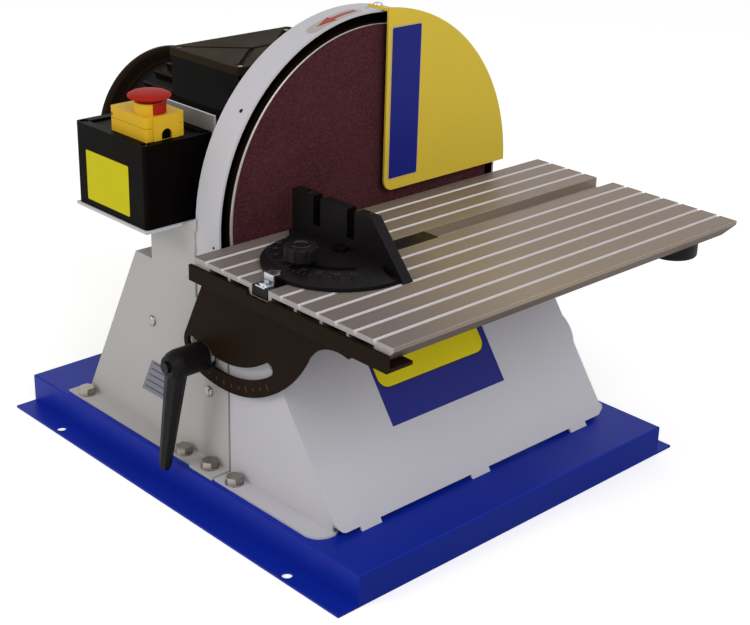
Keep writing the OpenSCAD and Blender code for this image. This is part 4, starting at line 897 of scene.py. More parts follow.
def add_turned(
    work: bmesh.types.BMesh, profile: Sequence[Pair], matrix: Matrix, steps: int = 32
) -> None:
    """Adds a turned form.

    Args:
        work: The mesh that takes the form.
        profile: Radius and height of each point in millimetres, from the axis out and back.
        matrix: Places the form, whose axis is Z, in millimetres.
        steps: Steps around the axis.
    """
    rows = []
    for radius, height in profile:
        if radius <= 0:
            rows.append([work.verts.new((matrix @ Vector((0, 0, height))) * MM)])
            continue
        ring = []
        for i in range(steps):
            turn = math.tau * i / steps
            point = Vector((radius * math.cos(turn), radius * math.sin(turn), height))
            ring.append(work.verts.new((matrix @ point) * MM))
        rows.append(ring)
    for low, high in zip(rows, rows[1:]):
        for i in range(steps):
            j = (i + 1) % steps
            corners = [low[i % len(low)], low[j % len(low)], high[j % len(high)], high[i % len(high)]]
            unique = list(dict.fromkeys(corners))
            if len(unique) > 2:
                work.faces.new(unique)


def add_numeral(work: bmesh.types.BMesh, words: str, size: float, depth: float, matrix: Matrix) -> None:
    """Adds the raised figures of a scale.

    Args:
        work: The mesh that takes them.
        words: The figures.
        size: Their height in millimetres.
        depth: How far they stand proud in millimetres.
        matrix: Places them, middle at the origin and facing +Z, in millimetres.
    """
    curve = bpy.data.curves.new("figures", "FONT")
    curve.body = words
    curve.size = size
    curve.extrude = depth / 2
    curve.align_x = "CENTER"
    curve.align_y = "CENTER"
    curve.resolution_u = 3
    holder = bpy.data.objects.new("figures", curve)
    bpy.context.scene.collection.objects.link(holder)
    bpy.context.view_layer.update()
    drawn = bpy.data.meshes.new_from_object(holder.evaluated_get(bpy.context.evaluated_depsgraph_get()))
    drawn.transform(Matrix.Scale(MM, 4) @ matrix)
    work.from_mesh(drawn)
    bpy.data.objects.remove(holder)
    bpy.data.curves.remove(curve)
    bpy.data.meshes.remove(drawn)


# Sub-assemblies


@dataclass
class BaseTray:
    """The folded blue tray that everything stands on."""

    edge: float = 0.6
    fold: float = 1.6
    top: float = 29.0
    half_width: float = 189.0
    half_depth: float = 232.5

    def build(self) -> None:
        """Rounds the folds of the tray."""
        tray = soften("base_tray", BLUE_COAT, self.edge, fold=(self.fold, self.is_fold))
        # The front and back walls take painted shade.
        overcoat(tray, BLUE_FRONT_SHADE, self.is_front)

    def is_front(self, place: Vector, out: Vector) -> bool:
        """Whether a face is on the tray's front or back wall, which is painted darker as painted shade."""
        return abs(out.y) > FACING and abs(place.y) > self.half_depth - 1

    def is_fold(self, edge: bmesh.types.BMEdge) -> bool:
        """Whether an edge is a bent fold around the tray's top.

        Args:
            edge: The edge.

        Returns:
            True for an edge along the rim of the upper face.
        """
        ends = [v.co / MM for v in edge.verts]
        sides = [
            (abs(abs(p.x) - self.half_width) < NEAR, abs(abs(p.y) - self.half_depth) < NEAR) for p in ends
        ]
        level = all(abs(p.z - self.top) < NEAR for p in ends)
        return level and any(a and b for a, b in zip(*sides))


@dataclass
class MotorStand:
    """The folded stand with its posts, feet, bolts and blank rating plate."""

    fold: float = 0.7
    bolt_edge: float = 0.25
    side_x: float = -165.5
    plate_z: Pair = (63.5, 97.0)
    plate_low_y: Pair = (44.0, 82.7)
    plate_high_y: Pair = (41.0, 66.0)
    plate_t: float = 0.35
    # Rows of the plate, where a rule lies in its row, and the rule's width and thickness.
    rows: int = 5
    rule_at: float = 0.6
    rule_w: float = 1.5
    rule_t: float = 0.1
    # How far a rule stays clear of the plate's edges: left, lower right and upper right.
    rule_in: Triple = (2.5, 3.0, 3.6)
    tongue_y: Pair = (-2.4, 15.5)
    tongue_z: Triple = (236.8, 239.5, 248.0)
    tongue_t: float = 1.6
    tongue_edge: float = 0.3

    def build(self) -> None:
        """Dresses the sheet parts, the posts and their fasteners."""
        soften("motor_stand", STAND_SHADE_COAT, self.fold)
        for node in ("left_post", "right_post"):
            soften(node, STAND_SHADE_COAT, self.fold)
        for node in ("foot_bolts", "foot_nuts", "side_screws"):
            soften(node, DARK_ZINC, self.bolt_edge)
        self.tongue()
        self.rating_plate()

    def tongue(self) -> None:
        """Adds the tongue of the left arm, which rises beside the guard up to the switch box."""
        near, far = self.tongue_y
        low, middle, high = self.tongue_z
        work = bmesh.new()
        outline = [(near, low), (far, low), (far, middle), (near, high)]
        add_plate(work, outline, self.tongue_t, lambda u, v, h: (self.side_x + h, u, v))
        round_edges(work, work.edges[:], self.tongue_edge, 2)
        make_piece("stand_tongue", work, "base", STAND_SHADE_COAT)

    def rating_plate(self) -> None:
        """Sticks a foil plate with empty ruled rows on the stand's left side, cut along its slope."""
        low, high = self.plate_z
        outline = [
            (self.plate_low_y[0], low),
            (self.plate_low_y[1], low),
            (self.plate_high_y[1], high),
            (self.plate_high_y[0], high),
        ]
        lay_plate(
            "rating_plate_blank",
            outline,
            self.plate_t,
            lambda u, v, h: (self.side_x - h, u, v),
            FOIL,
        )
        left_in, low_in, high_in = self.rule_in
        back = self.side_x - self.plate_t - INK_GAP
        work = bmesh.new()
        for row in range(self.rows):
            share = (row + self.rule_at) / self.rows
            left, right = (a + (b - a) * share for a, b in zip(self.plate_low_y, self.plate_high_y))
            level = low + (high - low) * share
            line = [
                (left + left_in, level),
                (right - low_in, level),
                (right - high_in, level + self.rule_w),
                (left + left_in, level + self.rule_w),
            ]
            add_plate(work, line, self.rule_t, lambda u, v, h: (back - h, u, v))
        make_piece("rating_plate_rules", work, "base", RULE_INK)


@dataclass
class DiscGuard:
    """The arched band around the disc, with its plugs and turning arrow."""

    fold: float = 0.5
    radius: float = 163.5
    axis_z: float = 239.5
    # Inside of the band along Y, and where the back plate starts.
    inner_y: Pair = (-30.4, -1.0)
    back_y: float = -8.0
    plug_rs: Pair = (1.8, 1.2)
    plug_h: float = 0.8
    plug_sunk: float = 0.4
    # Upper plug by its angle and place along Y, lower plug by its place along Y and its height.
    plug_up: Pair = (143.3, -20.5)
    plug_low: Pair = (-23.9, 228.7)
    arrow_t: float = 0.15
    arrow_half: Pair = (2.2, 6.0)
    arrow_y: float = -21.6
    arrow_turns: Triple = (93.6, 102.6, 108.6)
    film_turns: Pair = (91.6, 112.2)
    film_half: float = 6.6

    def build(self) -> None:
        """Dresses the band and adds what is on it."""
        guard = soften("disc_guard", WHITE_COAT, self.fold)
        # Painted shade: the band's and back plate's inner sides are coated black where the deep gap lies in
        # shade.
        overcoat(guard, BLACK_COAT, self.is_inside)
        self.plugs()
        self.arrow()

    def is_inside(self, place: Vector, out: Vector) -> bool:
        """Whether a face is on the band's or the back plate's inner side, which is painted black as painted
        shade.

        Args:
            place: Middle of the face in millimetres.
            out: Its normal.

        Returns:
            True for a face that is coated black.
        """
        inward = Vector((place.x, 0, max(place.z - self.axis_z, 0))).normalized().dot(out) < -0.4
        on_band = inward and self.inner_y[0] < place.y < self.inner_y[1]
        return on_band or (out.y < -FACING and place.y > self.back_y)

    def on_band(self, turn: float, y: float, height: float) -> Triple:
        """A place over the band.

        Args:
            turn: Angle about the disc's axis in degrees, from +X towards +Z.
            y: Place along the axis in millimetres.
            height: Height above the band in millimetres.

        Returns:
            The place in millimetres.
        """
        reach = self.radius + height
        angle = math.radians(turn)
        return reach * math.cos(angle), y, self.axis_z + reach * math.sin(angle)

    def plugs(self) -> None:
        """Adds the two black plugs on the band's left side."""
        turn, y = self.plug_up
        angle = math.radians(turn)
        places = (
            (self.on_band(turn, y, 0), Vector((math.cos(angle), 0, math.sin(angle)))),
            ((-self.radius, *self.plug_low), Vector((-1, 0, 0))),
        )
        work = bmesh.new()
        for radius, (place, out) in zip(self.plug_rs, places):
            profile = [(0.0, -self.plug_sunk), (radius, -self.plug_sunk)]
            profile += dome(radius, self.plug_h) + [(0.0, self.plug_h)]
            facing = Vector((0, 0, 1)).rotation_difference(out).to_matrix().to_4x4()
            add_turned(work, profile, Matrix.Translation(place) @ facing, SMALL_STEPS)
        make_piece("guard_plugs", work, "base", BLACK_PLASTIC)

    def arrow(self) -> None:
        """Sticks the red turning arrow, on its clear film, on top of the band."""
        # Half widths end just above zero, so that no strip has a corner twice.
        tiny = 0.05
        tail, neck, tip = self.arrow_turns
        shaft, head = self.arrow_half
        widths = [(tail + (neck - tail) * i / 6, shaft) for i in range(7)]
        widths += [(neck + (tip - neck) * i / 5, head * (1 - i / 5) + tiny) for i in range(6)]
        swell = math.degrees(self.film_half / self.radius)
        start, end = self.film_turns[0] + swell, self.film_turns[1] - swell
        angles = [math.radians(a) for a in range(0, 91, 15)]
        bulge = [(swell * math.sin(a), self.film_half * math.cos(a) + tiny) for a in angles]
        film = [(start - out, half) for out, half in bulge[::-1]]
        film += [(start + (end - start) * i / 8, self.film_half + tiny) for i in range(1, 9)]
        film += [(end + out, half) for out, half in bulge[1:]]
        self.stick("arrow_film", film, FILM_GAP, CLEAR_FILM)
        self.stick("turning_arrow", widths, FILM_GAP + self.arrow_t, RED_FILM)

    def stick(self, name: str, widths: list[Pair], lift: float, finish: Finish) -> None:
        """Sticks a thin film along the band.

        Args:
            name: Name of the new piece.
            widths: Angle in degrees and half width in millimetres, along the film.
            lift: Gap to the band in millimetres.
            finish: Its surface.
        """
        y = self.arrow_y
        work = bmesh.new()
        for (turn, half), (ahead, narrow) in zip(widths, widths[1:]):
            strip = [(turn, y - half), (turn, y + half), (ahead, y + narrow), (ahead, y - narrow)]
            if ahead > turn:
                add_plate(work, strip, self.arrow_t, lambda u, v, h: self.on_band(u, v, lift + h))
        make_piece(name, work, "base", finish)


@dataclass
class DustHood:
    """The sloped hood under the table, its outlet and its plain label."""

    fold: float = 0.7
    collar_edge: float = 0.4
    bottom: Pair = (-187.0, 29.0)
    top: Pair = (-109.0, 138.0)
    label_x: Pair = (-73.8, 64.0)
    label_up: Pair = (67.8, 131.0)
    band_x: Pair = (-70.5, 56.5)
    band_up: Pair = (100.0, 128.5)
    band_corner: float = 10.0
    label_corner: float = 0.6
    label_t: float = 0.2
    label_gap: float = 0.05
    # How far the dark rim reaches past the band: to the sides, below and above.
    rim: Triple = (0.8, 1.0, 0.6)

    def build(self) -> None:
        """Dresses the hood and the outlet and sticks the label on."""
        soften("dust_hood", WHITE_COAT, self.fold)
        soften("dust_outlet", WHITE_COAT, self.collar_edge)
        self.label()

    def on_slope(self, x: float, up: float, height: float) -> Vector:
        """A place over the hood's front.

        Args:
            x: Place across in millimetres.
            up: Distance up the slope from its lower edge in millimetres.
            height: Height above the sheet in millimetres.

        Returns:
            The place in millimetres.
        """
        run = Vector((self.top[0] - self.bottom[0], self.top[1] - self.bottom[1])).normalized()
        y = self.bottom[0] + run.x * up - run.y * height
        z = self.bottom[1] + run.y * up + run.x * height
        return Vector((x, y, z))

    def label(self) -> None:
        """Sticks a plain two-colour label on the slope."""
        (left, right), (low, high) = self.band_x, self.band_up
        beside, below, above = self.rim
        rim_x, rim_up = (left - beside, right + beside), (low - below, high + above)
        corner = self.band_corner
        films = (
            ("hood_label_blank", self.label_x, self.label_up, self.label_corner, LABEL_FILM),
            ("hood_label_rim", rim_x, rim_up, corner + beside, DARK_INK),
            ("hood_label_band", self.band_x, self.band_up, corner, YELLOW_FILM),
        )
        for number, film in enumerate(films):
            self.film(self.label_gap + number * self.label_t, *film)

    def film(
        self, level: float, name: str, across: Pair, up: Pair, corner: float, finish: Finish
    ) -> None:
        """Sticks one rounded film on the slope.

        Args:
            level: Height of its back above the sheet in millimetres.
            name: Name of the piece.
            across: Its ends across the hood in millimetres.
            up: Its ends up the slope in millimetres.
            corner: Corner radius in millimetres.
            finish: Its surface.
        """
        outline = rounded_outline(across[1] - across[0], up[1] - up[0], corner)
        lay_plate(
            name,
            outline,
            self.label_t,
            lambda u, v, h: self.on_slope(sum(across) / 2 + u, sum(up) / 2 + v, level + h),
            finish,
        )


@dataclass
class Disc:
    """The turning disc plate with its abrasive and key."""

    edge: float = 0.5
    axis_z: float = 239.5
    rim: float = 2.0
    plate_r: float = 152.5
    bright_y: float = -29.4
    # How far aside and up the abrasive is laid, its rounding, and the radius beyond which its edge lies.
    laid: Pair = (0.3, 1.6)
    cloth_edge: float = 0.1
    cloth_r: float = 100.0

    def build(self) -> None:
        """Dresses the plate and the abrasive."""
        fold = (self.rim, self.is_rim)
        plate = soften("disc_plate", DISC_METAL, self.edge, fold=fold)
        # Painted shade: the plate's edge behind the bright rim is coated black where the gap lies in shade.
        overcoat(plate, BLACK_COAT, self.is_edge)
        soften("abrasive_disc", GRIT, self.cloth_edge, shape=self.trim)
        dress(["shaft_key"], ZINC)

    def reach(self, place: Vector) -> float:
        """Distance of a place in millimetres from the disc's axis."""
        return math.hypot(place.x, place.z - self.axis_z)

    def is_rim(self, edge: bmesh.types.BMEdge) -> bool:
        """Whether an edge is the plate's front rim, which is turned round."""
        ends = [v.co / MM for v in edge.verts]
        return all(self.reach(p) > self.plate_r - 0.3 and p.y < self.bright_y for p in ends)

    def is_edge(self, place: Vector, out: Vector) -> bool:
        """Whether a face is the plate's cylindrical edge behind the bright rim, which is painted black as
        painted shade.
        """
        return self.reach(place) > self.plate_r - 0.8 and place.y > self.bright_y - 1.0

    def trim(self, work: bmesh.types.BMesh) -> None:
        """Trims the abrasive's edge back and lays it slightly high, so that the bright rim shows below it.

        Args:
            work: The abrasive's copy.
        """
        middle = Vector((0, 0, self.axis_z * MM))
        aside = Vector((self.laid[0], 0, self.laid[1])) * MM
        for vert in work.verts:
            arm = Vector((vert.co.x, 0, vert.co.z)) - middle
            if arm.length / MM > self.cloth_r:
                vert.co -= arm.normalized() * self.rim * MM
            vert.co += aside


@dataclass
class DiscCover:
    """The yellow plate over the disc's right half, with a plain blue panel."""

    edge: float = 0.4
    face_y: float = -40.5
    panel_x: Pair = (16.0, 50.0)
    panel_z: Pair = (255.0, 388.0)
    panel_t: float = 0.2
    panel_corner: float = 1.5
    rim: float = 1.1
    left_x: float = 11.0
    axis_z: float = 239.5
    # The top screw lies higher than this over the axis, and turns by this many degrees.
    screw_over: float = 120.0
    screw_turn: float = 4.6
    screw_edge: float = 0.2

    def build(self) -> None:
        """Dresses the plate and its screws and sticks the panel on."""
        soften("disc_cover", YELLOW_COAT, self.edge, shape=self.trim_tab)
        soften("cover_screws", ZINC, self.screw_edge, shape=self.shift_screw)
        level = self.face_y - FILM_GAP
        self.film("cover_panel_rim", self.rim, level, RIM_FILM)
        level -= self.panel_t + INK_GAP
        self.film("cover_panel_plain", 0.0, level, BLUE_FILM)

    def film(self, name: str, grow: float, level: float, finish: Finish) -> None:
        """Sticks one film of the panel on the plate.

        Args:
            name: Name of the piece.
            grow: How far it reaches past the panel in millimetres.
            level: Place of its back along Y in millimetres.
            finish: Its surface.
        """
        (left, right), (low, high) = self.panel_x, self.panel_z
        lay_plate(
            name,
            rounded_outline(right - left + 2 * grow, high - low + 2 * grow, self.panel_corner),
            self.panel_t,
            lambda u, v, h: ((left + right) / 2 + u, level - h, (low + high) / 2 + v),
            finish,
        )

    def trim_tab(self, work: bmesh.types.BMesh) -> None:
        """Cuts the top tab off flush with the plate's left edge.

        Args:
            work: The plate's copy.
        """
        # The cut stays just off the plate's own edge, which it would otherwise split.
        open_edges = cut_across(work, (self.left_x - 0.02, 0, 0), (1, 0, 0), clear=True)
        bmesh.ops.holes_fill(work, edges=open_edges, sides=0)

    def shift_screw(self, work: bmesh.types.BMesh) -> None:
        """Moves the top screw along the band onto the shortened tab.

        Args:
            work: The copy of the screws.
        """
        upper = [v for v in work.verts if v.co.z / MM > self.axis_z + self.screw_over]
        turn = Matrix.Rotation(math.radians(self.screw_turn), 3, "Y")
        bmesh.ops.rotate(work, verts=upper, cent=(0, 0, self.axis_z * MM), matrix=turn)


@dataclass
class StopSwitch:
    """The switch box on its bracket, with the flap and its stop button."""

    box_edge: float = 1.0
    lid_edge: float = 0.7
    flap_edge: float = 0.5
    key_edge: float = 0.4
    # Where the bracket's upright wall, whose left side is painted dark grey as painted shade, starts along X
    # and Z.
    wall_x: float = -135.0
    wall_z: float = 245.0
    front_y: float = 25.4
    latch_x: Pair = (-185.0, -160.2)
    latch_z: Pair = (311.2, 331.0)
    latch_t: float = 2.0
    hollow_t: float = 0.1
    hollow_sunk: float = 0.01
    arch_r: float = 5.0
    arch_rise: float = 4.0
    stop_at: Pair = (-176.77, 40.19)
    panel_x: float = -200.0
    panel_y: Pair = (40.0, 101.2)
    panel_z: Pair = (246.1, 289.3)
    panel_t: float = 0.2
    panel_corner: float = 1.2
    stem_r: float = 13.05
    stem_z: Pair = (331.3, 340.3)
    stem_t: float = 0.4
    # The stem's window in degrees about its axis: start, end and step.
    stem_turns: tuple[int, int, int] = (-114, 30, 6)

    def build(self) -> None:
        """Dresses the bracket, the box and the switch."""
        bracket = soften("switch_bracket", WHITE_COAT, self.lid_edge)
        overcoat(bracket, WALL_SHADE_COAT, self.is_wall)
        soften("switch_box", BOX_PLASTIC, self.box_edge)
        soften("switch_box_lid", BOX_PLASTIC, self.lid_edge)
        soften("cable_gland", BLACK_PLASTIC, self.key_edge)
        for node in ("switch_base", "switch_flap"):
            soften(node, YELLOW_PLASTIC, self.flap_edge)
        soften("stop_button", RED_PLASTIC, self.flap_edge)
        soften("start_key", GREEN_PLASTIC, self.key_edge)
        soften("stop_key", RED_PLASTIC, self.key_edge)
        dress(["flap_pin", "lid_screws"], ZINC)
        self.latch()
        self.stem()
        self.panel()

    def is_wall(self, place: Vector, out: Vector) -> bool:
        """Whether a face is on the left side of the bracket's upright wall, which takes painted shade."""
        return out.x < -FACING and place.z > self.wall_z and place.x > self.wall_x

    def panel(self) -> None:
        """Sticks a plain yellow film on the box's left side."""
        (near, far), (low, high) = self.panel_y, self.panel_z
        back = self.panel_x - FILM_GAP
        lay_plate(
            "box_panel_plain",
            rounded_outline(far - near, high - low, self.panel_corner),
            self.panel_t,
            lambda u, v, h: (back - h, (near + far) / 2 + u, (low + high) / 2 + v),
            BOX_FILM,
        )

    def latch(self) -> None:
        """Adds the pull latch on the flap's front, with an arch for a padlock and a dark sheet of painted
        shade behind the arch.
        """
        left, right = self.latch_x
        low, high = self.latch_z
        middle = (left + right) / 2
        arch = [
            (middle + self.arch_r * math.cos(a), low + self.arch_rise + self.arch_r * math.sin(a))
            for a in (math.pi * i / 12 for i in range(13))
        ]
        hollow = [(middle - self.arch_r, low)] + arch[::-1] + [(middle + self.arch_r, low)]
        outline = [(right, low), (right, high), (left, high), (left, low)] + hollow
        lay_plate(
            "flap_latch",
            outline,
            self.latch_t,
            lambda u, v, h: (u, self.front_y + SINK - h, v),
            YELLOW_PLASTIC,
            "switch_flap",
        )
        # Painted shade: a dark sheet behind the arch, where the hollow lies in shade.
        lay_plate(
            "latch_arch_painted_shade",
            hollow,
            self.hollow_t,
            lambda u, v, h: (u, self.front_y + self.hollow_sunk - h, v),
            BOX_PLASTIC,
        )

    def stem(self) -> None:
        """Shows the red stem where the flap's collar is open, towards the front right."""
        (x, y), (low, high) = self.stop_at, self.stem_z
        step = self.stem_turns[2]
        work = bmesh.new()
        for degree in range(*self.stem_turns):
            turn, ahead = math.radians(degree), math.radians(degree + step)
            add_plate(
                work,
                [(turn, low), (ahead, low), (ahead, high), (turn, high)],
                self.stem_t,
                lambda u, v, h: (
                    x + (self.stem_r + h) * math.cos(u),
                    y + (self.stem_r + h) * math.sin(u),
                    v,
                ),
            )
        make_piece("stop_stem_window", work, "switch_flap", RED_PLASTIC)


@dataclass
class Motor:
    """The face-mounted motor with its capacitor box."""

    rib: float = 0.4
    bell_edge: float = 0.5
    box_edge: float = 1.0
    lid_edge: float = 0.8
    groove: float = 1.4

    def build(self) -> None:
        """Dresses the housing, the boxes and what is inside."""
        soften("motor_body", MOTOR_CAST, self.rib)
        for node in ("front_bell", "rear_bell"):
            soften(node, MOTOR_CAST, self.bell_edge)
        soften("fan_cover", BLACK_COAT, self.rib)
        soften("capacitor_box", BOX_PLASTIC, self.box_edge)
        self.lighten(soften("capacitor_lid", LID_PLASTIC, self.lid_edge))
        soften("cooling_fan", BLACK_PLASTIC, self.rib)
        dress(["stator", "rotor"], CORE_METAL)
        dress(["motor_shaft", "front_bearing", "rear_bearing"], BEARING_METAL)
        dress(["motor_bolts", "capacitor_screws"], ZINC)
        dress(["run_capacitor"], BOX_PLASTIC)

    def lighten(self, lid: bpy.types.Object) -> None:
        """Marks the lid's crossed grooves, which are painted paler as a painted highlight.

        Args:
            lid: The dressed lid.
        """
        top = max(v.co.z for v in lid.data.vertices)
        values = lid.data.attributes[WEAR_AND_HIGHLIGHT].data
        for face in lid.data.polygons:
            if 0.1 < (top - face.center.z) / MM < self.groove and face.normal.z > -0.1:
                values[face.index].value = 1.0


@dataclass
class WorkTable:
    """The extruded table on its two trunnions."""

    edge: float = 0.5
    tilt_y: float = -44.5
    tilt_z: float = 231.8
    scale_x: float = -172.5
    scale_r: float = 113.0
    groove_depth: float = 2.5
    slot_y: float = -118.5
    # Half width of the notch for the mitre bar, and length of the ramp at each side of it.
    notch: float = 13.0
    ramp: float = 0.6
    lip_z: float = 222.3
    lip_rise: float = 2.8
    front_y: float = -264.5
    # How far back the front lip's top with its painted highlight and its underside with its painted shade
    # reach.
    lip_depths: Pair = (4.0, 8.0)
    slot_depth: float = 9.0
    # Strength of the painted highlight on the groove walls, and brightness of the slot's floor and the sawn
    # end.
    groove_shine: float = 0.8
    sawn_shine: float = 0.3
    # Angle of the tilt scale's zero, its last mark, and the steps of all marks and of long ones.
    scale_zero: float = -76.0
    scale_end: int = 45
    mark_step: int = 5
    long_step: int = 15
    # Width, lengths and thickness of its marks.
    mark_w: float = 0.7
    mark_ls: Pair = (5.0, 3.0)
    mark_t: float = 0.08

    def build(self) -> None:
        """Dresses the table, the trunnions and their fasteners."""
        table = soften("table", TABLE_METAL, self.edge)
        self.brighten(table)
        # The lip's underside takes painted shade.
        overcoat(table, TABLE_UNDERSIDE_SHADE, self.is_underside)
        soften("left_trunnion", BLACK_COAT, self.edge, shape=self.raise_lip)
        soften("right_trunnion", BLACK_COAT, self.edge)
        soften("table_knobs", BLACK_PLASTIC, self.edge)
        dress(["trunnion_screws", "guide_blocks", "lock_studs"], ZINC)
        self.tilt_scale()

    def is_underside(self, place: Vector, out: Vector) -> bool:
        """Whether a face is on the underside of the front lip, which is painted darker as painted shade."""
        return out.y < -0.2 and out.z < -0.1 and place.y < self.front_y + self.lip_depths[1]

    def raise_lip(self, work: bmesh.types.BMesh) -> None:
        """Raises the left trunnion's lip beside the table's end, with a notch for the mitre bar.

        Args:
            work: The trunnion's copy.
        """
        for cut in (-self.notch, self.ramp - self.notch, self.notch - self.ramp, self.notch):
            cut_across(work, (0, self.slot_y + cut, 0), (0, 1, 0))
        for vert in work.verts:
            beside = abs(vert.co.y / MM - self.slot_y) > self.notch - self.ramp / 2
            if beside and vert.co.z / MM > self.lip_z - 0.1:
                vert.co.z += self.lip_rise * MM

    def brighten(self, table: bpy.types.Object) -> None:
        """Marks faces for painted highlights on the groove walls and front lip, and a paler tone on the
        slot's floor and sawn ends.

        Args:
            table: The dressed table.
        """
        values = table.data.attributes[WEAR_AND_HIGHLIGHT].data
        for face in table.data.polygons:
            out = face.normal
            depth = self.tilt_z - face.center.z / MM
            behind = face.center.y / MM > self.front_y + self.lip_depths[0]
            # Groove walls and the front lip's top take a painted highlight; the slot's floor and the sawn
            # end are made paler.
            if behind and NEAR < depth < self.groove_depth + 0.1 and (out.y < -SLOPED or out.z > 0.6):
                values[face.index].value = self.groove_shine
            elif (abs(depth - self.slot_depth) < 0.2 and out.z > FACING) or out.x < -FACING:
                values[face.index].value = self.sawn_shine
            elif not behind and -FACING < out.y < -SLOPED and out.z > SLOPED:
                values[face.index].value = 1.0
            elif abs(out.y) > SLOPED or abs(depth) < NEAR:
                values[face.index].value = 0.0

    def tilt_scale(self) -> None:
        """Prints the marks of the tilt under the left slot, every 5 degrees up to 45."""
        face = Vector((-1, 0, 0))
        axis = Vector((self.scale_x - INK_GAP, self.tilt_y, self.tilt_z))
        work = bmesh.new()
        for mark in range(0, self.scale_end + 1, self.mark_step):
            turn = math.radians(self.scale_zero - mark)
            out = Vector((0, math.cos(turn), math.sin(turn)))
            length = self.mark_ls[mark % self.long_step > 0]
            add_mark(work, axis + out * self.scale_r, out, face, (self.mark_w, length), self.mark_t)
        make_piece("tilt_scale_marks", work, "table", DULL_INK)


@dataclass
class ClampLever:
    """One clamp lever on its stud."""

    side: Side
    edge: float = 1.5
    # Edges that turn by more than this many degrees are rounded.
    edge_angle: float = 20.0
    screw_edge: float = 0.2

    def build(self) -> None:
        """Dresses the lever and its screw."""
        name = self.side.value
        soften(f"{name}_lever", BLACK_PLASTIC, self.edge, angle=self.edge_angle, segments=3)
        soften(f"{name}_lever_screw", BLACKED_STEEL, self.screw_edge)


@dataclass
class MitreGauge:
    """The mitre gauge: bar, head with its protractor, knob and pointer."""

    edge: float = 0.7
    bar_edge: float = 0.4
    knob_edge: float = 0.4
    pointer_edge: float = 0.2
    pivot: Pair = (-111.0, -118.5)
    face_z: float = 242.1
    mark_r: float = 59.0
    figure_r: float = 51.0
    fence_x: float = -100.0
    fence_z: float = 275.6
    fence_t: float = 10.0
    slot_ys: Pair = (-83.7, -123.9)
    slot_w: float = 8.5
    slot_z: float = 251.6
    knob_at: Triple = (-151.5, -118.5, 256.4)
    # Radius and height of the points of the cap's profile.
    cap_rings: tuple[Pair, ...] = (
        (0.0, -0.5),
        (8.0, -0.5),
        (8.0, 0.3),
        (7.5, 0.8),
        (5.8, 0.5),
        (5.4, 0.2),
        (0.0, 0.3),
    )
    screw_ys: Pair = (-70.0, -139.0)
    screw_r: float = 3.2
    screw_h: float = 1.6
    screw_sunk: float = 0.3
    # Radius and height of the driver's recess, as shares of the head's.
    recess: Pair = (0.4, 0.35)
    # Last mark of the protractor, and the steps of all marks and of long ones, which have figures.
    scale_end: int = 60
    mark_step: int = 5
    long_step: int = 15
    # Width, lengths and thickness of its marks, and height of its figures.
    mark_w: float = 0.6
    mark_ls: Pair = (5.0, 3.0)
    mark_t: float = 0.2
    figure_h: float = 6.0

    def build(self) -> None:
        """Dresses the gauge and raises its scale."""
        soften("mitre_bar", BLACKED_STEEL, self.bar_edge)
        head = soften("mitre_head", BLACK_PLASTIC, self.edge)
        # Painted shade: the insides of the fence's slots are coated black.
        overcoat(head, BOX_PLASTIC, self.in_slot)
        soften("mitre_knob", BLACK_PLASTIC, self.knob_edge)
        soften("mitre_pointer", ZINC, self.pointer_edge)
        dress(["mitre_pivot"], BLACKED_STEEL)
        dress(["pointer_screw"], ZINC)
        self.fence_screws()
        self.knob_cap()
        self.scale()

    def in_slot(self, place: Vector, out: Vector) -> bool:
        """Whether a face lines one of the fence's slots, which are painted black inside as painted shade.

        Args:
            place: Middle of the face in millimetres.
            out: Its normal; not used.

        Returns:
            True for a face inside a slot.
        """
        across = min(abs(place.y - y) for y in self.slot_ys)
        within = abs(place.x - self.fence_x) < self.fence_t / 2 - 0.5
        return within and across < self.slot_w / 2 + 0.3 and place.z > self.slot_z - 0.5

    def knob_cap(self) -> None:
        """Presses a polished cap into the knob's top."""
        work = bmesh.new()
        add_turned(work, self.cap_rings, Matrix.Translation(self.knob_at))
        make_piece("mitre_knob_cap", work, "mitre_knob", CAP_PLASTIC)

    def fence_screws(self) -> None:
        """Sets two round-headed screws in the fence's top, beside its slots."""
        radius, rise, sunk = self.screw_r, self.screw_h, self.screw_sunk
        profile = [(0.0, -sunk), (radius, -sunk)] + dome(radius, rise)
        profile += [(radius * self.recess[0], rise), (0.0, rise * self.recess[1])]
        work = bmesh.new()
        for y in self.screw_ys:
            place = Matrix.Translation((self.fence_x, y, self.fence_z))
            add_turned(work, profile, place, SMALL_STEPS)
        make_piece("fence_screws", work, "mitre_head", BLACKED_STEEL)

    def scale(self) -> None:
        """Raises the marks of the protractor every 5 degrees, and its figures every 15."""
        face = Vector((0, 0, 1))
        pivot = Vector((*self.pivot, self.face_z - SINK))
        work = bmesh.new()
        for mark in range(-self.scale_end, self.scale_end + 1, self.mark_step):
            turn = math.radians(180 + mark)
            out = Vector((math.cos(turn), math.sin(turn), 0))
            length = self.mark_ls[mark % self.long_step > 0]
            middle = pivot + out * (self.mark_r - length / 2)
            add_mark(work, middle, out, face, (self.mark_w, length), self.mark_t)
            if mark % self.long_step == 0:
                spot = Vector((*self.pivot, self.face_z + self.mark_t / 2)) + out * self.figure_r
                facing = Matrix.Rotation(turn + math.pi / 2, 4, "Z")
                place = Matrix.Translation(spot) @ facing
                add_numeral(work, str(abs(mark)), self.figure_h, self.mark_t, place)
        make_piece("protractor_scale", work, "mitre_head", GREY_INK)


# Camera, floor and light


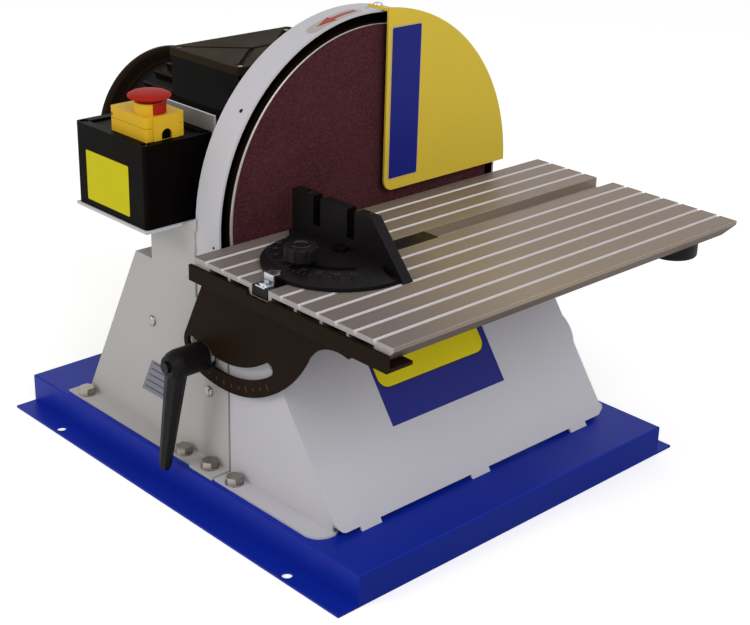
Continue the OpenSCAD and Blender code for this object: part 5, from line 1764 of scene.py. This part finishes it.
@dataclass(frozen=True)
class SoftBox:
    """A square lamp that looks at the sander: place and side in metres, power in watts, linear colour."""

    name: str
    at: Triple
    side: float
    power: float
    colour: Triple
    aim: Triple = (0.0, 0.0, 0.2)

    def hang(self) -> None:
        """Hangs the lamp in the scene."""
        data = bpy.data.lights.new(self.name, "AREA")
        data.size = self.side
        data.energy = self.power
        data.color = self.colour
        holder = bpy.data.objects.new(self.name, data)
        facing = (Vector(self.aim) - Vector(self.at)).to_track_quat("-Z", "Y").to_matrix().to_4x4()
        holder.matrix_world = Matrix.Translation(self.at) @ facing
        bpy.context.scene.collection.objects.link(holder)


@dataclass
class Studio:
    """The photograph's camera, the pale floor and the soft light."""

    camera_at: Triple = (-851.58, -930.26, 660.43)
    azimuth: float = 43.896
    elevation: float = 23.209
    roll: float = 1.614
    lens: float = 71.37
    sky: float = 0.5
    # Side and thickness of the floor, its gap to the feet, its grey and its lift to white.
    floor_size: float = 5000.0
    floor_t: float = 4.0
    floor_gap: float = 0.2
    floor_grey: float = 0.93
    floor_lift: float = 0.45
    lamps: tuple[SoftBox, ...] = (
        SoftBox("front_light", (-0.6, -2.2, 1.9), 1.8, 29.0, (0.96, 0.97, 1.0)),
        SoftBox("window_light", (-2.3, 0.6, 1.6), 1.0, 15.5, (1.0, 0.95, 0.87)),
    )

    def build(self) -> None:
        """Sets up the camera, the world, the floor and the lamps."""
        scene = bpy.context.scene
        scene.view_settings.view_transform = "Standard"
        self.camera(scene)
        self.world(scene)
        self.floor()
        for lamp in self.lamps:
            lamp.hang()

    def camera(self, scene: bpy.types.Scene) -> None:
        """Puts the camera at the photograph's place and angle.

        Args:
            scene: The scene that takes it.
        """
        turn, tip, lean = (math.radians(a) for a in (self.azimuth, self.elevation, self.roll))
        ahead = Vector((math.cos(tip) * math.sin(turn), math.cos(tip) * math.cos(turn), -math.sin(tip)))
        right = Vector((math.cos(turn), -math.sin(turn), 0))
        up = right.cross(ahead)
        leaned = right * math.cos(lean) + up * math.sin(lean)
        lifted = up * math.cos(lean) - right * math.sin(lean)
        data = bpy.data.cameras.new("photo_camera")
        data.sensor_fit = "HORIZONTAL"
        data.sensor_width = 36.0
        data.lens = self.lens
        data.clip_start = 0.05
        holder = bpy.data.objects.new("photo_camera", data)
        facing = Matrix((leaned, lifted, -ahead)).transposed().to_4x4()
        holder.matrix_world = Matrix.Translation(Vector(self.camera_at) * MM) @ facing
        scene.collection.objects.link(holder)
        scene.camera = holder

    def backdrop_share(self, tree: bpy.types.NodeTree) -> bpy.types.NodeSocket:
        """Where a ray shows the white background.

        Args:
            tree: The tree that asks.

        Returns:
            1 for camera, glossy and transmission rays, else 0.
        """
        path = add_node(tree, "ShaderNodeLightPath")
        first = add_node(
            tree,
            "ShaderNodeMath",
            {"operation": "MAXIMUM"},
            links={0: path.outputs["Is Camera Ray"], 1: path.outputs["Is Glossy Ray"]},
        )
        both = add_node(
            tree,
            "ShaderNodeMath",
            {"operation": "MAXIMUM"},
            links={0: first.outputs[0], 1: path.outputs["Is Transmission Ray"]},
        )
        return both.outputs[0]

    def world(self, scene: bpy.types.Scene) -> None:
        """Gives a white background and an even soft sky.

        Args:
            scene: The scene that takes it.
        """
        world = bpy.data.worlds.new("studio")
        scene.world = world
        world.use_nodes = True
        tree = world.node_tree
        tree.nodes.clear()
        sky = add_node(tree, "ShaderNodeBackground", values={"Color": (1, 1, 1, 1), "Strength": self.sky})
        white = add_node(tree, "ShaderNodeBackground", values={"Color": (1, 1, 1, 1), "Strength": 1.0})
        mixed = add_node(
            tree,
            "ShaderNodeMixShader",
            links={0: self.backdrop_share(tree), 1: sky.outputs[0], 2: white.outputs[0]},
        )
        add_node(tree, "ShaderNodeOutputWorld", links={"Surface": mixed.outputs[0]})

    def floor(self) -> None:
        """Lays a plain white floor that keeps the shadow."""
        outline = rounded_outline(self.floor_size, self.floor_size, self.floor_size / 10)
        bottom = -self.floor_t - self.floor_gap
        work = bmesh.new()
        add_plate(work, outline, self.floor_t, lambda u, v, h: (u, v, bottom + h))
        mesh = bpy.data.meshes.new("studio_floor")
        work.to_mesh(mesh)
        work.free()
        floor = bpy.data.objects.new("studio_floor", mesh)
        bpy.context.scene.collection.objects.link(floor)
        paper = bpy.data.materials.new("paper_backdrop_white")
        paper.use_nodes = True
        tree = paper.node_tree
        tree.nodes.clear()
        grey = (self.floor_grey, self.floor_grey, self.floor_grey, 1)
        matt = add_node(tree, "ShaderNodeBsdfDiffuse", values={"Color": grey})
        lift = add_node(
            tree,
            "ShaderNodeEmission",
            values={"Color": (1, 1, 1, 1)},
            links={"Strength": self.lift_share(tree)},
        )
        both = add_node(tree, "ShaderNodeAddShader", links={0: matt.outputs[0], 1: lift.outputs[0]})
        add_node(tree, "ShaderNodeOutputMaterial", links={"Surface": both.outputs[0]})
        mesh.materials.append(paper)

    def lift_share(self, tree: bpy.types.NodeTree) -> bpy.types.NodeSocket:
        """How much the floor is lifted to white where it shows as background.

        Args:
            tree: The floor's tree.

        Returns:
            The strength of the lift.
        """
        return add_node(
            tree,
            "ShaderNodeMath",
            {"operation": "MULTIPLY"},
            {1: self.floor_lift},
            {0: self.backdrop_share(tree)},
        ).outputs[0]


def main() -> None:
    """Builds the sander's looks in order."""
    logging.basicConfig(level=logging.INFO, format="%(name)s: %(message)s")
    Studio().build()
    for part in (
        BaseTray(),
        MotorStand(),
        DiscGuard(),
        DustHood(),
        Disc(),
        DiscCover(),
        StopSwitch(),
        Motor(),
        WorkTable(),
        ClampLever(Side.LEFT),
        ClampLever(Side.RIGHT),
        MitreGauge(),
    ):
        LOG.info("building %s", type(part).__name__)
        part.build()


if __name__ == "__main__":
    main()
